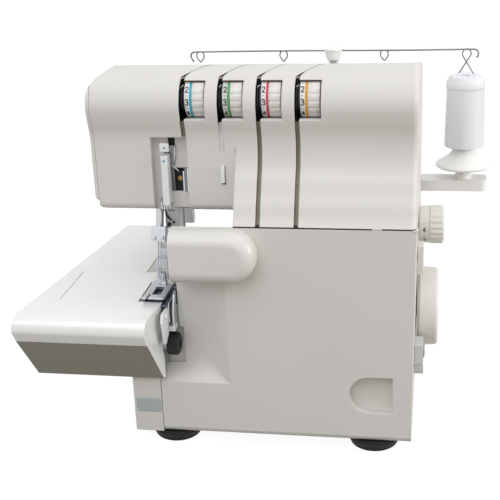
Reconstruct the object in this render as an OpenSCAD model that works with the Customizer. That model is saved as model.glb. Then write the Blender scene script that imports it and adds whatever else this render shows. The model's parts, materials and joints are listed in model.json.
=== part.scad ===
// Four-thread overlock machine (serger) with free arm, sliding cloth plate,
// hinged looper cover, four thumb-wheel tension dials and a rear thread stand.
// Lengths are measured from the front lower right corner of the casing:
// X runs to the left as negative, Y runs from the front to the back, Z is up.
// placed() then moves everything to the centre of the footprint.

/* [Casing] */
// Width of the base
body_w = 222.5; // [216:0.5:230]
// Depth of the base
body_d = 182; // [178:1:188]
// Height of the seam above the looper cover
seam_z = 188; // [184:1:192]
// Overall height of the casing
top_z = 299.6; // [296:0.1:306]
// Wall of the plastic covers
wall = 2.4; // [1.8:0.1:2.6]
// Gap between neighbouring covers
seam = 0.4; // [0.3:0.1:0.6]
// Width of the tower above the seam
tower_w = 134.8; // [132:0.1:138]
// Reach of the arm from the right side
arm_reach = 248; // [244:1:256]
// Underside of the arm
arm_z = 196; // [193:1:200]
// Back of the arm
arm_back = 150; // [140:1:160]
// Corner radius at the arm's upper left end
arm_top_r = 18; // [10:1:24]
// Corner radius at the arm's lower left end
arm_low_r = 9; // [5:1:12]

/* [Feet] */
// Height of a rubber foot
foot_h = 11; // [9:0.5:14]
// Diameter of a rubber foot
foot_d = 45; // [36:1:48]
// Radius of a foot screw
foot_screw_r = 2; // [1.5:0.1:2.5]

/* [Bed and cloth plate] */
// Height of the bed and the cloth plate
bed_z = 124.4; // [122:0.1:127]
// How far the cloth plate reaches past the free arm
plate_margin = 26.4; // [20:0.2:36]
// How far the rounded lip stands out in front
lip_out = 38; // [34:1:42]
// Depth of the lip's rounded face
lip_drop = 21; // [18:0.5:24]
// Height of the skirt's lower edge
skirt_z = 62; // [60:0.5:70]
// How much narrower the plate is at the back
plate_taper = 30.5; // [10:0.5:40]
// Back edge of the cloth plate
plate_back = 186; // [170:1:188]
// Reach of the free arm from the right side
free_arm_reach = 277.6; // [270:0.1:282]
// Depth of the free arm
free_arm_d = 62.6; // [58:0.1:68]
// Height of the free arm's side walls
free_arm_h = 32; // [24:1:38]

/* [Looper cover] */
// Width of the looper cover
looper_cover_w = 199; // [196:0.5:202]
// Right edge of the chute
chute_x = 142; // [138:0.5:146]
// Depth of the chute
chute_depth = 15; // [8:0.5:16]
// Lower edge of the chute
chute_low_z = 57; // [54:0.5:60]
// Upper edge of the chute
chute_top_z = 146; // [143:0.5:149]
// Length of the rounded guard
guard_l = 66; // [60:0.5:70]
// How far the guard stands out
guard_out = 17; // [12:0.5:20]
// Width of the finger recess
grip_w = 33.6; // [28:0.2:38]
// Height of the finger recess
grip_h = 30.8; // [26:0.2:34]
// Radius of the cover's hinge pin
hinge_pin_r = 1.5; // [1.2:0.1:1.8]

/* [Threading] */
// Distance between two thread slots
slot_pitch = 29; // [28:0.1:29.4]
// Width of a thread slot
slot_w = 3.3; // [2.8:0.1:3.4]
// Left edge of the fourth slot
slot_x = 88.6; // [86:0.1:91]
// Radius of a tension dial
dial_r = 15.5; // [14:0.1:15.6]
// Width of a tension dial, with its number band
dial_w = 15.2; // [13:0.1:16]
// Height of a dial window
window_h = 28; // [24:0.5:29]
// Depth of the thread grooves below the slots
groove_depth = 5; // [3:0.5:6]
// Radius of a tension post
post_r = 2.5; // [2:0.1:3]

/* [Needle and presser foot] */
// Distance of the needles from the right side
needle_x = 200.2; // [199.8:0.1:200.6]
// Tilt of the needle bar
needle_tilt = 18; // [17:0.5:19]
// Radius of the needle bar
needle_bar_r = 3.2; // [2.6:0.1:3.4]
// Distance between the two needles
needle_gap = 2.2; // [2:0.1:2.6]
// Radius of the presser bar
presser_bar_r = 3.5; // [3:0.1:3.8]

/* [Drive] */
// Distance of the main shaft from the front
shaft_y = 90; // [88:0.5:92]
// Height of the main shaft
shaft_z = 91.5; // [89:0.5:93]
// Radius of the main shaft
shaft_r = 6; // [5:0.1:6.5]
// Running clearance of every turning fit
run_gap = 0.05; // [0.03:0.01:0.08]
// Diameter of the handwheel
handwheel_d = 66; // [60:0.5:68]
// Width of the handwheel
handwheel_w = 15.6; // [13:0.2:18]
// Radius of the motor
motor_r = 26; // [22:0.5:27]
// Radius of the pulley on the main shaft
big_pulley_r = 27; // [25:0.5:29]
// Radius of the motor's pulley
small_pulley_r = 9; // [8:0.5:10]
// Thickness of the drive belt
belt_t = 1.8; // [1.4:0.1:2]

/* [Controls] */
// Diameter of the stitch length dial
length_dial_d = 31.3; // [28:0.1:33]
// Height of the stitch length dial
length_dial_z = 163.3; // [160:0.1:166]
// Diameter of the cutting width knob
knob_d = 18.4; // [16:0.2:19]

/* [Thread stand] */
// Gap between a spool flange and the back of the casing
flange_gap = 1; // [0.5:0.5:4]
// Length of the stand's bar
stand_l = 275; // [270:1:280]
// Depth of the stand's bar
stand_d = 22; // [18:0.5:23]
// Underside of the stand's bar
stand_z = 158.5; // [156:0.5:162]
// Height of the stand's bar
stand_h = 10; // [8:0.5:13]
// Diameter of the bell flange under a spool
flange_d = 50; // [44:0.5:54]
// Height of a spool pin above the stand
pin_h = 86; // [76:1:90]
// Radius of a spool pin
pin_r = 2.8; // [2.4:0.1:3.2]
// Radius of the telescopic pole's outer tube
pole_r = 4.5; // [4.2:0.1:5]
// Height of the wire thread guide
wire_z = 284.5; // [283:0.5:290]
// Radius of the guide wire
wire_r = 0.9; // [0.7:0.1:1.2]

/* [Hidden] */
$fn = 64;
eps = 0.01;

// Footprint centre: the cloth plate and the right spool set the width,
// the plate's lip and the spool flange set the depth.
pole_x = -77.5;
pin_offsets = [-118.5, -45, 45, 116.5];
flange_r = flange_d / 2;
plate_reach = free_arm_reach + plate_margin;
stand_y = body_d + flange_gap + flange_r;
right_spool_x = pole_x + pin_offsets[3];
right_x = (plate_reach - (right_spool_x + flange_r)) / 2;
front_y = -((stand_y + flange_r) - lip_out) / 2;

// Casing
draft = 1.8;
inner_y = 10;
split_y = 100;
back_ref = 185;
base_z = foot_h + seam;
plate_in = wall + seam;
base_plate_t = 3.2;
cap_t = 2.8;
corner_r = 6;
half_seam = seam / 2;

// Bed
slab_t = 2.6;
bed_low = bed_z - slab_t;
free_arm_front = 3.6;
free_arm_back = free_arm_front + free_arm_d;
open_x = 137.5;
knife_side_x = 183;
needle_plate_x0 = -213;
needle_plate_x1 = -189.8;
needle_plate_back = 44;
tongue_x = -193.4;
plate_right = -194;

// Needle bar: its axis passes through this point
needle_y = 30;
needle_z = 165;
needle_tip = 29.5;
clamp_h = 12;
presser_x = -187;
presser_y = 52;
foot_z = bed_z + 1;

// Looper cover
cover_left_low = -looper_cover_w;
ramp_top = chute_low_z + 9;
full_width_z = ramp_top + 1;
under_plate_z = chute_low_z + 2.5;
guard_r = (seam_z - chute_top_z) / 2;
guard_edge = 11;
guard_z = chute_top_z + guard_r;
guard_left = -182;
hinge_y = 5;
hinge_z = base_z + hinge_y;
lug_w = 8;
cover_travel = 8;
lip_step = 0.1;
grip_x0 = -48.3;
grip_z0 = 36.6;
grip_depth = 9;

// Tension
dial_y = 38;
dial_z = top_z - 20.6;
dial_left = slot_w + 0.6;
band_w = 5.6;
dial_gap = 0.5;
post_l = dial_left + dial_w + 6;

// Side
hub_r = 9;
knob_y = 5;
knob_z = 88.5;
knob_end = -182.4;
knob_l = 9;
knob_gap_z = knob_z + knob_d / 2 + 0.5;
knife_right = -185.2;
cover_left_mid = knob_end + 1;
cover_left_top = knife_right + 0.4;
plate_y = body_d - 17;
motor_y = plate_y - motor_r - 1;
motor_z = 55;
strut_y0 = 6;
strut_y1 = 14;
strut_z0 = 70;
strut_z1 = 79;
motor_x0 = -106;
motor_x1 = -38;
pulley_x = -18;
pulley_w = 8;

function arc(cx, cy, r, a0, a1, n) =
    [for (i = [0 : n]) [cx + r * cos(a0 + (a1 - a0) * i / n), cy + r * sin(a0 + (a1 - a0) * i / n)]];

// A smooth line through the points p, with n steps between neighbours
function curve(p, n) = concat(
    [for (i = [0 : len(p) - 2]) for (k = [0 : n - 1])
        let (a = p[max(i - 1, 0)], b = p[i], c = p[i + 1], d = p[min(i + 2, len(p) - 1)], t = k / n)
        0.5 * (2 * b + (c - a) * t + (2 * a - 5 * b + 4 * c - d) * t * t
            + (3 * b - a - 3 * c + d) * t * t * t)],
    [p[len(p) - 1]]);

// The same line moved to its right-hand side by t
function inset(p, t) =
    [for (i = [0 : len(p) - 1])
        let (d = p[min(i + 1, len(p) - 1)] - p[max(i - 1, 0)], u = d / norm(d))
        p[i] + t * [u[1], -u[0]]];

// Front line of the tower, from the seam up over the dials to the split
lower_front = [[0, 0.4], [4, 7], [7.4, 15.5], [12, 23.5], [16, 31.6], [21, 39.5], [23.8, 48]];
upper_front = [[24.8, -54.6], [23.9, -45.6], [20.9, -35.6], [19.1, -26.1], [20.7, -17.6],
               [26, -9], [38, -2.3], [50, -0.3], [60, 0], [80, -3.4], [split_y, -7.6]];
back_line = [[split_y, -7.6], [130, -12], [160, -19], [174, -27], [182, -38], [back_ref, -54]];

function from_seam(p) = [for (q = p) [q[0], q[1] + seam_z]];
function from_top(p) = [for (q = p) [q[0], q[1] + top_z]];
function scaled_back(p, back) =
    [for (q = p) [split_y + (q[0] - split_y) * (back - split_y) / (back_ref - split_y), q[1]]];

tower_line = curve(concat(from_seam(lower_front), from_top(upper_front)), 4);
upper_line = curve(from_top(upper_front), 4);

function tower_back(back) = curve(from_top(scaled_back(back_line, back)), 4);

module placed() {
    translate([right_x, front_y, 0]) children();
}

// Extrudes an outline drawn in Y and Z along X
module along_x(x0, x1) {
    translate([x0, 0, 0]) rotate([90, 0, 90]) linear_extrude(x1 - x0) children();
}

// Extrudes an outline drawn in X and Z along Y
module along_y(y0, y1) {
    translate([0, y1, 0]) rotate([90, 0, 0]) linear_extrude(y1 - y0) children();
}

module box(x0, x1, y0, y1, z0, z1) {
    translate([x0, y0, z0]) cube([x1 - x0, y1 - y0, z1 - z0]);
}

// A round bar along X, between two ends
module bar_x(x0, x1, y, z, r) {
    translate([x0, y, z]) rotate([0, 90, 0]) cylinder(r = r, h = x1 - x0);
}

// A round bar along Y, between two ends
module bar_y(x, y0, y1, z, r) {
    translate([x, y1, z]) rotate([90, 0, 0]) cylinder(r = r, h = y1 - y0);
}

// Puts its children on the needle bar's axis, Z along the bar
module on_needle_axis() {
    translate([-needle_x, needle_y, needle_z]) rotate([-needle_tilt, 0, 0]) children();
}

// The tower and arm as one solid, moved in by t; open below when t > 0
module upper_body(t, y0, y1) {
    low = t > 0 ? seam_z - 5 : seam_z + seam;
    intersection() {
        union() {
            along_x(-tower_w + t, draft - t) union() {
                polygon(concat(inset(tower_line, t), [[split_y, low], [tower_line[0][0] + t, low]]));
                polygon(concat(inset(tower_back(body_d), t), [[body_d - t, low], [split_y, low]]));
            }
            along_x(-arm_reach + t, draft - t) union() {
                polygon(concat(inset(upper_line, t), [[split_y, arm_z + t], [upper_line[0][0] + 6, arm_z + t],
                    [upper_line[0][0] + t, arm_z + 6]]));
                polygon(concat(inset(tower_back(arm_back), t),
                    [[arm_back - t, arm_z + t], [split_y, arm_z + t]]));
            }
        }
        along_y(y0, y1) upper_outline(t);
    }
}

// Front view of the tower and arm, with rounded corners, moved in by t
module upper_outline(t) {
    polygon(concat(
        arc(draft - corner_r, top_z - corner_r, corner_r - t, 0, 90, 6),
        arc(-arm_reach + arm_top_r, top_z - arm_top_r, arm_top_r - t, 90, 180, 10),
        arc(-arm_reach + arm_low_r, arm_z + arm_low_r, arm_low_r - t, 180, 270, 8),
        [[-tower_w + t, arm_z + t], [-tower_w + t, seam_z - 5], [draft - t, seam_z - 5]]));
}

module upper_shell(y0, y1) {
    difference() {
        upper_body(0, y0, y1);
        upper_body(wall, y0 - 1, y1 + 1);
    }
}

function slot_left(i) = -(slot_x + (4 - i) * slot_pitch);

// Casing pieces
recess_x0 = -200.5;
recess_x1 = -171.7;
recess_top = top_z - 48.6;
recess_floor = 33;

// Each thread slot is open above slot_low and goes on below it as a groove
slot_low = top_z - 37;
slot_back = 34;
groove_low = top_z - 68;
slit_w = 1;
slit_turn = 30;
slit_l = 55;

// Everything in front of the tower's front line moved in by t
module before_line(t) {
    line = inset(tower_line, t);
    polygon(concat([[-30, seam_z - 8], [line[0][0], seam_z - 8]], line,
        [[split_y, top_z + 20], [-30, top_z + 20]]));
}

// Narrow slit over the top, through which a thread reaches its slot
module thread_slit(i) {
    translate([slot_left(i) + slot_w / 2, slot_back - slot_w / 2, top_z - wall - 6]) rotate(-slit_turn)
        translate([-slit_w / 2, 0, 0]) cube([slit_w, slit_l, 12]);
}

module front_cover() color("#e9e6e1") placed() {
    difference() {
        union() {
            upper_shell(-20, split_y - half_seam);
            intersection() {
                upper_body(0, -20, split_y - half_seam);
                union() {
                    intersection() {
                        for (i = [1 : 4]) box(slot_left(i) - wall, slot_left(i) + slot_w + wall,
                            -1, split_y / 2, i > 2 ? seam_z : groove_low, slot_low);
                        along_x(-arm_reach, 0) before_line(groove_depth + wall);
                    }
                    box(recess_x0 - wall, recess_x1 + wall, 20, recess_floor + wall,
                        arm_z, recess_top + wall);
                }
            }
        }
        box(-arm_reach - 1, -arm_reach + cap_t + seam, -1, split_y, arm_z - 1, top_z + 1);
        for (i = [1 : 4]) {
            box(slot_left(i), slot_left(i) + slot_w, -1, slot_back, slot_low, top_z + 1);
            thread_slit(i);
            box(slot_left(i) + slot_w - eps, slot_left(i) + dial_left + dial_w + dial_gap, -1, 34,
                dial_z - window_h / 2 + 0.5, dial_z + window_h / 2 + 0.5);
            bar_x(slot_left(i) + slot_w - eps, slot_left(i) + dial_left + dial_w + dial_gap,
                dial_y, dial_z, dial_r + 0.4);
        }
        for (i = [1, 3, 4]) intersection() {
            box(slot_left(i), slot_left(i) + slot_w, -1, split_y / 2, seam_z - 1, slot_low + eps);
            along_x(-arm_reach, 0) before_line(groove_depth);
        }
        along_x(slot_left(2), slot_left(2) + slot_w) polygon([[-1, slot_low + eps],
            [upper_front[2][0] + groove_depth, slot_low + eps],
            [upper_front[0][0], groove_low], [-1, groove_low]]);
        box(recess_x0, recess_x1, -1, recess_floor, arm_z - 1, recess_top);
        box(-188.7, -183.4, 20, 40, recess_top - 10, recess_top - 0.6);
        box(-190, -172.5, 20, 40, arm_z + 10, arm_z + 29);
        box(-208, -180, recess_floor + wall, 62, arm_z - 1, arm_z + wall + 1);
    }
}

module rear_cover() color("#e4e1dc") placed() {
    difference() {
        union() {
            upper_shell(split_y + half_seam, body_d + 5);
            box(-body_w + wall + seam, 0, body_d - wall, body_d, base_z, bed_low - seam);
            box(-tower_w, draft, body_d - wall, body_d, base_z, seam_z + seam + eps);
            box(-tower_w, -tower_w + wall, 4, body_d, bed_z + seam, seam_z - eps);
            box(-tower_w, -tower_w + wall, split_y + half_seam, body_d, seam_z - 1, arm_z + 1);
            handle_pocket_walls();
        }
        box(-arm_reach - 1, -arm_reach + cap_t + seam, 60, body_d + 1, arm_z - 1, top_z + 1);
        handle_pocket();
        bar_x(handle_x0 - 1.8, handle_x1 + 1.8, handle_pin_y, handle_pin_z, handle_pin_r + run_gap);
        box(lifter_x - 6, lifter_x + 6, lifter_y - 6, lifter_y + 22, arm_z - 1, arm_z + wall + 1);
    }
}

handle_x0 = -98;
handle_x1 = -20;
handle_y0 = 108;
handle_y1 = 140;
handle_low = top_z - 34;

module handle_pocket_walls() {
    intersection() {
        upper_body(0, split_y + half_seam, body_d + 5);
        box(handle_x0 - wall, handle_x1 + wall, handle_y0 - wall, handle_y1 + wall, handle_low - wall, top_z);
    }
}

module handle_pocket() {
    box(handle_x0, handle_x1, handle_y0, handle_y1, handle_low, top_z + 1);
}

handle_pin_y = handle_y0 + 6;
handle_pin_z = top_z - 18;
handle_pin_r = 2;

module carry_handle() color("#dedbd6") placed() {
    difference() {
        union() {
            for (x = [handle_x0 + 1, handle_x1 - 9])
                box(x, x + 8, handle_pin_y - 4, handle_y1 - 1.5, handle_pin_z - 3, handle_pin_z + 3);
            box(handle_x0 + 1, handle_x1 - 1, handle_y1 - 13, handle_y1 - 1.5,
                handle_pin_z - 4.5, handle_pin_z + 3.5);
            bar_x(handle_x0 - 1.6, handle_x1 + 1.6, handle_pin_y, handle_pin_z, handle_pin_r);
        }
        box(handle_x0 + 9.5, handle_x1 - 9.5, handle_pin_y - 5, handle_pin_y + 5,
            handle_pin_z - 5, handle_pin_z + 5);
    }
}

module arm_end_cover() color("#e6e3de") placed() {
    intersection() {
        upper_body(0, 0, body_d);
        box(-arm_reach, -arm_reach + cap_t, 0, body_d, arm_z, top_z);
    }
}

module side_outline() {
    polygon([[-wall, base_z], [0, base_z], [draft, seam_z - half_seam], [draft - wall, seam_z - half_seam]]);
}

lever_y = 60;
lever_z0 = 133;
switch_y = 47;
switch_z0 = 63.4;
switch_z1 = 77.4;

// How far the side stands out at height z
function side_x(z) = draft * (z - base_z) / (seam_z - half_seam - base_z);

module side_cover() color("#e2dfda") placed() {
    difference() {
        union() {
            along_y(inner_y + seam, body_d - wall - seam) side_outline();
            for (y = [30, body_d - 20]) box(-18, -1, y, y + 3, foot_h + base_plate_t, base_z + 12);
        }
        bar_x(-10, 5, shaft_y, shaft_z, hub_r + 0.5);
        bar_x(-10, 5, shaft_y, length_dial_z, 5.5);
        box(-10, 5, lever_y - 2.8, lever_y + 2.8, lever_z0 + 3.5, lever_z0 + 20.5);
        box(-10, 5, switch_y - 8, switch_y + 8, switch_z0, switch_z1);
    }
}

module bed_cover() color("#e8e5e0") placed() {
    difference() {
        union() {
            box(-body_w, -body_w + wall, 0, body_d, base_z, bed_z);
            box(-body_w, -looper_cover_w - seam, 0, wall, base_z, bed_low - seam);
            looper_shield();
            translate([0, 0, bed_low]) linear_extrude(slab_t)
                polygon([[-body_w, free_arm_back + seam], [-knife_side_x, free_arm_back + seam],
                         [-knife_side_x, 31], [-open_x, 31], [-open_x, body_d], [-body_w, body_d]]);
        }
        box(-body_w - 1, -body_w + wall + 1, -1, free_arm_back + seam, bed_z - free_arm_h - 1, bed_z + 1);
        box(-open_x - 40, -open_x + 1, body_d - wall, body_d + 1, bed_low - 1, bed_low);
    }
}

shield_t = 1.8;
shield_y = chute_depth + wall + 0.5;
shield_low = full_width_z + seam;
shield_top = 116;
return_top = 100;

// Fixed wall that carries the chute on behind the knob, clear of the loopers
module looper_shield() {
    x0 = -looper_cover_w - seam - wall;
    difference() {
        union() {
            box(x0, x0 + wall, 0, shield_y + shield_t, shield_low, return_top);
            box(x0, cover_left_mid + 0.8, shield_y, shield_y + shield_t, shield_low, return_top);
            box(x0 + wall + 1, cover_left_mid + 0.8, shield_y, shield_y + shield_t, return_top - 1, shield_top);
        }
        box(x0 - 1, x0 + wall + 1, strut_y0 - seam, strut_y1 + seam, strut_z0 - seam, strut_z1 + seam);
    }
}

module label_plate() color("#a9b0b1") placed() {
    box(-body_w + 2.5, -looper_cover_w - 1.2, -0.5, 0, 29.4, 40.8);
}

// Chute in plan: a hollow curve from the right edge to the left one
function chute_line(depth) = [for (i = [0 : 12])
    let (a = i / 12) [-chute_x - (looper_cover_w - chute_x) * a, depth * sin(90 * min(1, a * 1.35))]];

// The panel's lower front corner is rounded about the hinge pin
module looper_panel() {
    panel_x1 = -0.5;
    along_x(cover_left_low, panel_x1) polygon(concat([[wall - 0.1, hinge_z + 1], [0.1, hinge_z + 1]],
        arc(hinge_y, hinge_z, hinge_y, 185, 310, 8), arc(hinge_y, hinge_z, hinge_y - wall, 310, 190, 8)));
    along_y(0, wall) polygon([[cover_left_low, hinge_z], [panel_x1, hinge_z],
        [panel_x1, seam_z - half_seam], [guard_left, seam_z - half_seam], [guard_left, chute_top_z],
        [cover_left_low, chute_top_z]]);
    intersection() {
        along_y(0, inner_y) side_outline();
        along_x(-wall - 1, draft + 1) {
            translate([hinge_y, hinge_z]) circle(r = hinge_y - lip_step);
            translate([0, hinge_z]) square([inner_y, seam_z]);
        }
    }
}

module chute_walls() {
    intersection() {
        translate([0, 0, chute_low_z - wall]) linear_extrude(chute_top_z - chute_low_z + 2 * wall)
            polygon(concat([[-chute_x + wall, 0]], [for (p = chute_line(chute_depth)) p + [wall * 0.7, wall]],
                [[cover_left_low, 0]]));
        box(cover_left_low, -chute_x + 4, 0, 40, 0, seam_z - half_seam);
    }
}

module chute_space() {
    intersection() {
        translate([0, 0, chute_low_z]) linear_extrude(chute_top_z - chute_low_z)
            polygon(concat(chute_line(chute_depth), [[cover_left_low, -2], [-chute_x, -2]]));
        along_x(-looper_cover_w - 1, -chute_x)
            polygon([[-3, chute_low_z], [0.6, chute_low_z], [chute_depth + 1, ramp_top],
                     [chute_depth + 1, chute_top_z + 1], [-3, chute_top_z + 1]]);
    }
}

module grip_space(t, depth) {
    r = grip_h / 2;
    along_y(-1, depth) {
        translate([grip_x0 + r, grip_z0 + r]) circle(r = r + t);
        translate([grip_x0 + r, grip_z0 - t]) square([grip_w - r + t, grip_h + 2 * t]);
    }
}

module at_hinges() {
    for (x = [-24, -174]) translate([x, 0, 0]) children();
}

module looper_cover() color("#e9e6e1") placed() {
    difference() {
        union() {
            looper_panel();
            chute_walls();
            intersection() {
                grip_space(wall, grip_depth + wall);
                box(-body_w, 0, 0, body_d, 0, seam_z);
            }
            at_hinges() bar_x(-lug_w / 2, lug_w / 2, hinge_y, hinge_z, hinge_y - 0.2);
        }
        chute_space();
        grip_space(0, grip_depth);
        box(cover_left_low - 1, plate_right + 0.6, -1, 40, under_plate_z, knob_gap_z);
        box(cover_left_low - 1, cover_left_mid, -1, 40, full_width_z, knob_gap_z);
        box(cover_left_low - 1, cover_left_top, -1, 40, knob_gap_z - eps, seam_z);
        at_hinges() bar_x(-lug_w, lug_w, hinge_y, hinge_z, hinge_pin_r + run_gap);
        at_hinges() box(-lug_w / 2 - 15 - cover_travel, -lug_w / 2 + eps, hinge_y, inner_y + 1,
            foot_h, hinge_z);
    }
}

module cover_hinge_pin() color("#b9bcbf") placed() {
    at_hinges() bar_x(-lug_w / 2 - 12, lug_w / 2, hinge_y, hinge_z, hinge_pin_r);
}

// The rounded guard: a pillow with a half-round right end, hollow behind
module guard_solid(t, x1) {
    r = guard_r - half_seam - t;
    edge = guard_edge - t;
    out = guard_out - t;
    along_x(guard_left + t, x1) polygon(concat(
        [[0, guard_z - r]], arc(-out + edge, guard_z - r + edge, edge, 270, 180, 8),
        arc(-out + edge, guard_z + r - edge, edge, 180, 90, 8), [[0, guard_z + r]]));
    translate([x1, 0, guard_z]) rotate([90, 0, 0]) intersection() {
        rotate_extrude() polygon(concat([[0, 0], [r, 0]],
            arc(r - edge, out - edge, edge, 0, 90, 8), [[0, out]]));
        translate([0, -guard_r, -1]) cube([guard_r, 2 * guard_r, guard_out + 2]);
    }
}

module looper_guard() color("#efece8") placed() {
    mid = guard_left + guard_l - guard_r;
    difference() {
        guard_solid(0, mid);
        translate([0, eps, 0]) guard_solid(wall, mid);
    }
}

// Base
foot_r = foot_d / 2;
foot_in = 30;
foot_y0 = 21.5;
boss_r = 8;
boss_h = 9;

module at_feet() {
    for (x = [-body_w + foot_in, -foot_in]) for (y = [foot_y0, body_d - foot_y0])
        translate([x, y, 0]) children();
}

module rubber_feet() color("#26282b") placed() at_feet() {
    difference() {
        rotate_extrude() polygon(concat([[0, 0], [foot_r - 7, 0]],
            arc(foot_r - 7, 4, 4, -90, 0, 6), [[foot_r, foot_h - 2.5], [foot_r, foot_h], [0, foot_h]]));
        translate([0, 0, -1]) cylinder(r = foot_screw_r + 2.2, h = 5);
        translate([0, 0, -1]) cylinder(r = foot_screw_r, h = foot_h + 2);
    }
}

module case_screws() color("#9a9da0") placed() {
    at_feet() translate([0, 0, 1.6]) {
        cylinder(r = foot_screw_r + 2, h = 2.4);
        cylinder(r = foot_screw_r, h = foot_h + boss_h - 3);
    }
}

module base_plate() color("#cfccc7") placed() {
    back = inner_y + seam;
    difference() {
        union() {
            box(-body_w + plate_in, -wall - seam, wall + seam, body_d - wall - seam,
                foot_h, foot_h + base_plate_t);
            at_feet() translate([0, 0, foot_h]) cylinder(r = boss_r, h = boss_h);
            at_hinges() {
                box(-lug_w / 2 - 14, -lug_w / 2 - 1, hinge_y, back + 8, hinge_z, hinge_z + 4);
                box(-lug_w / 2 - 14, -lug_w / 2 - 1, back + 3, back + 8, foot_h, hinge_z + 4);
                bar_x(-lug_w / 2 - 14, -lug_w / 2 - 1, hinge_y, hinge_z, hinge_y - wall - 0.15);
            }
        }
        at_feet() translate([0, 0, foot_h - 1]) cylinder(r = foot_screw_r, h = boss_h + 2);
        at_hinges() bar_x(-lug_w / 2 - 15, -lug_w / 2, hinge_y, hinge_z, hinge_pin_r + run_gap);
        box(-looper_cover_w - seam, 0, 0, back, 0, foot_h + base_plate_t + eps);
    }
}

// Frame: floor, back plate, side walls, arm beam and head block in one casting
floor_z = foot_h + boss_h;
floor_t = 6;
frame_x0 = -body_w + 3.5;
frame_x1 = -24;
side_wall_x = -30;
head_z0 = arm_z + 10;
head_z1 = 258;
beam_z = 250;
beam_y = 59.5;
support_x0 = -196.4;
support_x1 = -194.8;
knife_shelf = 110;
bracket_x0 = -191.4;
bracket_x1 = -189.5;
needle_plate_t = 2;
looper_y = 20.5;
looper_pivots = [[-168, 66], [-154, 66]];

module frame_solid() {
    box(frame_x0, frame_x1, inner_y + 9, plate_y + 1, floor_z, floor_z + floor_t);
    along_y(plate_y, plate_y + 6) polygon([[frame_x0, floor_z], [frame_x1, floor_z], [frame_x1, head_z1],
        [-tower_w + 4, head_z1], [-tower_w + 4, bed_low - 4], [frame_x0, bed_low - 4]]);
    box(frame_x0, frame_x0 + 6, 30, plate_y + 1, floor_z, bed_low - 5);
    box(side_wall_x, frame_x1, shaft_y - 28, shaft_y + 18, floor_z, length_dial_z + 12);
    box(-212, frame_x1, beam_y, arm_back - wall - 4, beam_z, head_z1);
    box(-tower_w + 4, frame_x1, beam_y, plate_y + 1, beam_z, head_z1);
    box(-212, frame_x1, beam_y, beam_y + 6, beam_z - 25, head_z1);
    box(-212, -178, recess_floor + 4, 72, head_z0, head_z1);
    box(frame_x0, support_x1, strut_y0, strut_y1, strut_z0, strut_z1);
    box(frame_x0, frame_x0 + 6, strut_y0, 31, strut_z0, bed_low - 5);
    box(support_x0, support_x1, -0.3, 16.5, strut_z0, bed_low - 0.6);
    box(support_x0, bracket_x0, 12.5, 16.5, knife_shelf, bed_z - needle_plate_t);
    for (s = [-1, 1]) box(lifter_x + s * 8.5 - 1.5, lifter_x + s * 8.5 + 1.5, lifter_y - 6, lifter_y + 6,
        lifter_z - 5, beam_z + 1);
    box(frame_x0, -204, 40, 70, 100, 107.7);
    box(-176, -146, 45, 51, floor_z, 76);
    for (p = looper_pivots) bar_y(p[0], looper_y - 0.4, 46, p[1], 2.5);
    box(motor_x0 + 6, motor_x1 - 26, motor_y - 12, motor_y + 12, floor_z, motor_z - motor_r - 0.4);
}

module machine_frame() color("#b4b7b9") placed() {
    difference() {
        frame_solid();
        bar_x(frame_x0 - 1, frame_x1 + 1, shaft_y, shaft_z, bush_r);
        bar_x(side_wall_x - 1, frame_x1 + 1, shaft_y, length_dial_z, stem_r + run_gap);
        bar_x(support_x0 - 1, support_x1 + 1, knob_y, knob_z, knob_shaft_r + run_gap);
        on_needle_axis() translate([0, 0, 20]) cylinder(r = needle_bar_r + run_gap, h = 100);
        translate([presser_x, presser_y, head_z0 - 1])
            cylinder(r = presser_bar_r + run_gap, h = head_z1 - head_z0 + 2);
        box(presser_x - 7, -177, presser_y - 7, 73, head_z0 + 12, head_z1 - 12);
        bar_x(lifter_x - 11, lifter_x + 11, lifter_y, lifter_z, lifter_pin_r + run_gap);
    }
}

bush_r = shaft_r + 3;
stem_r = 2.5;
knob_shaft_r = 3;

// Needle group
module needle_bar() color("#c9ccce") placed() {
    on_needle_axis() translate([0, 0, clamp_h / 2]) cylinder(r = needle_bar_r, h = 98);
}

module needle_clamp() color("#aeb1b4") placed() {
    on_needle_axis() {
        difference() {
            translate([-6, -4.6, 0]) cube([12, 9.2, clamp_h]);
            translate([0, 0, clamp_h / 2 - eps]) cylinder(r = needle_bar_r, h = clamp_h);
            for (s = [-1, 1]) translate([s * needle_gap / 2, 0, -1]) cylinder(r = 0.85, h = clamp_h / 2);
        }
        for (s = [-1, 1]) translate([s * 3.2, -4.5, 3.2]) rotate([90, 0, 0]) cylinder(r = 1.6, h = 2);
    }
}

module needles() color("#d5d8da") placed() {
    on_needle_axis() for (s = [-1, 1]) translate([s * needle_gap / 2, 0, 0]) {
        translate([0, 0, -3]) cylinder(r = 0.84, h = 7.5);
        translate([0, 0, -needle_tip + 4]) cylinder(r = 0.5, h = needle_tip - 6);
        translate([0, 0, -needle_tip]) cylinder(r1 = 0.12, r2 = 0.5, h = 4 + eps);
    }
}

module take_up_cover() color("#e8eaea") placed() {
    difference() {
        box(-192.6, -187.4, 21.5, recess_floor, arm_z + 1.6, arm_z + 41);
        box(-191.6, -189.4, 23, recess_floor - 2, arm_z, arm_z + 39);
    }
}

clip_gap = 8.6;

module thread_guides() color("#e4e6e6") placed() {
    box(-192.6, -185.6, 21.2, 23, recess_top - 10.5, recess_top - 4);
    box(-191.6, -189.4, 22.9, recess_floor, recess_top - 9, recess_top - 6);
    box(-tower_w - clip_gap - 2.8, -tower_w - clip_gap, upper_front[0][0] - 2.8, upper_front[0][0],
        arm_z + 20, arm_z + 33);
}

// Presser group
foot_pin_y = 36;
foot_pin_z = foot_z + 8.6;

module presser_bar() color("#c4c7c9") placed() {
    translate([presser_x, presser_y, 146]) cylinder(r = presser_bar_r, h = head_z1 - 146 + 14);
    translate([presser_x, presser_y, head_z0 + 14]) cylinder(r = presser_bar_r + 3, h = 3);
}

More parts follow.
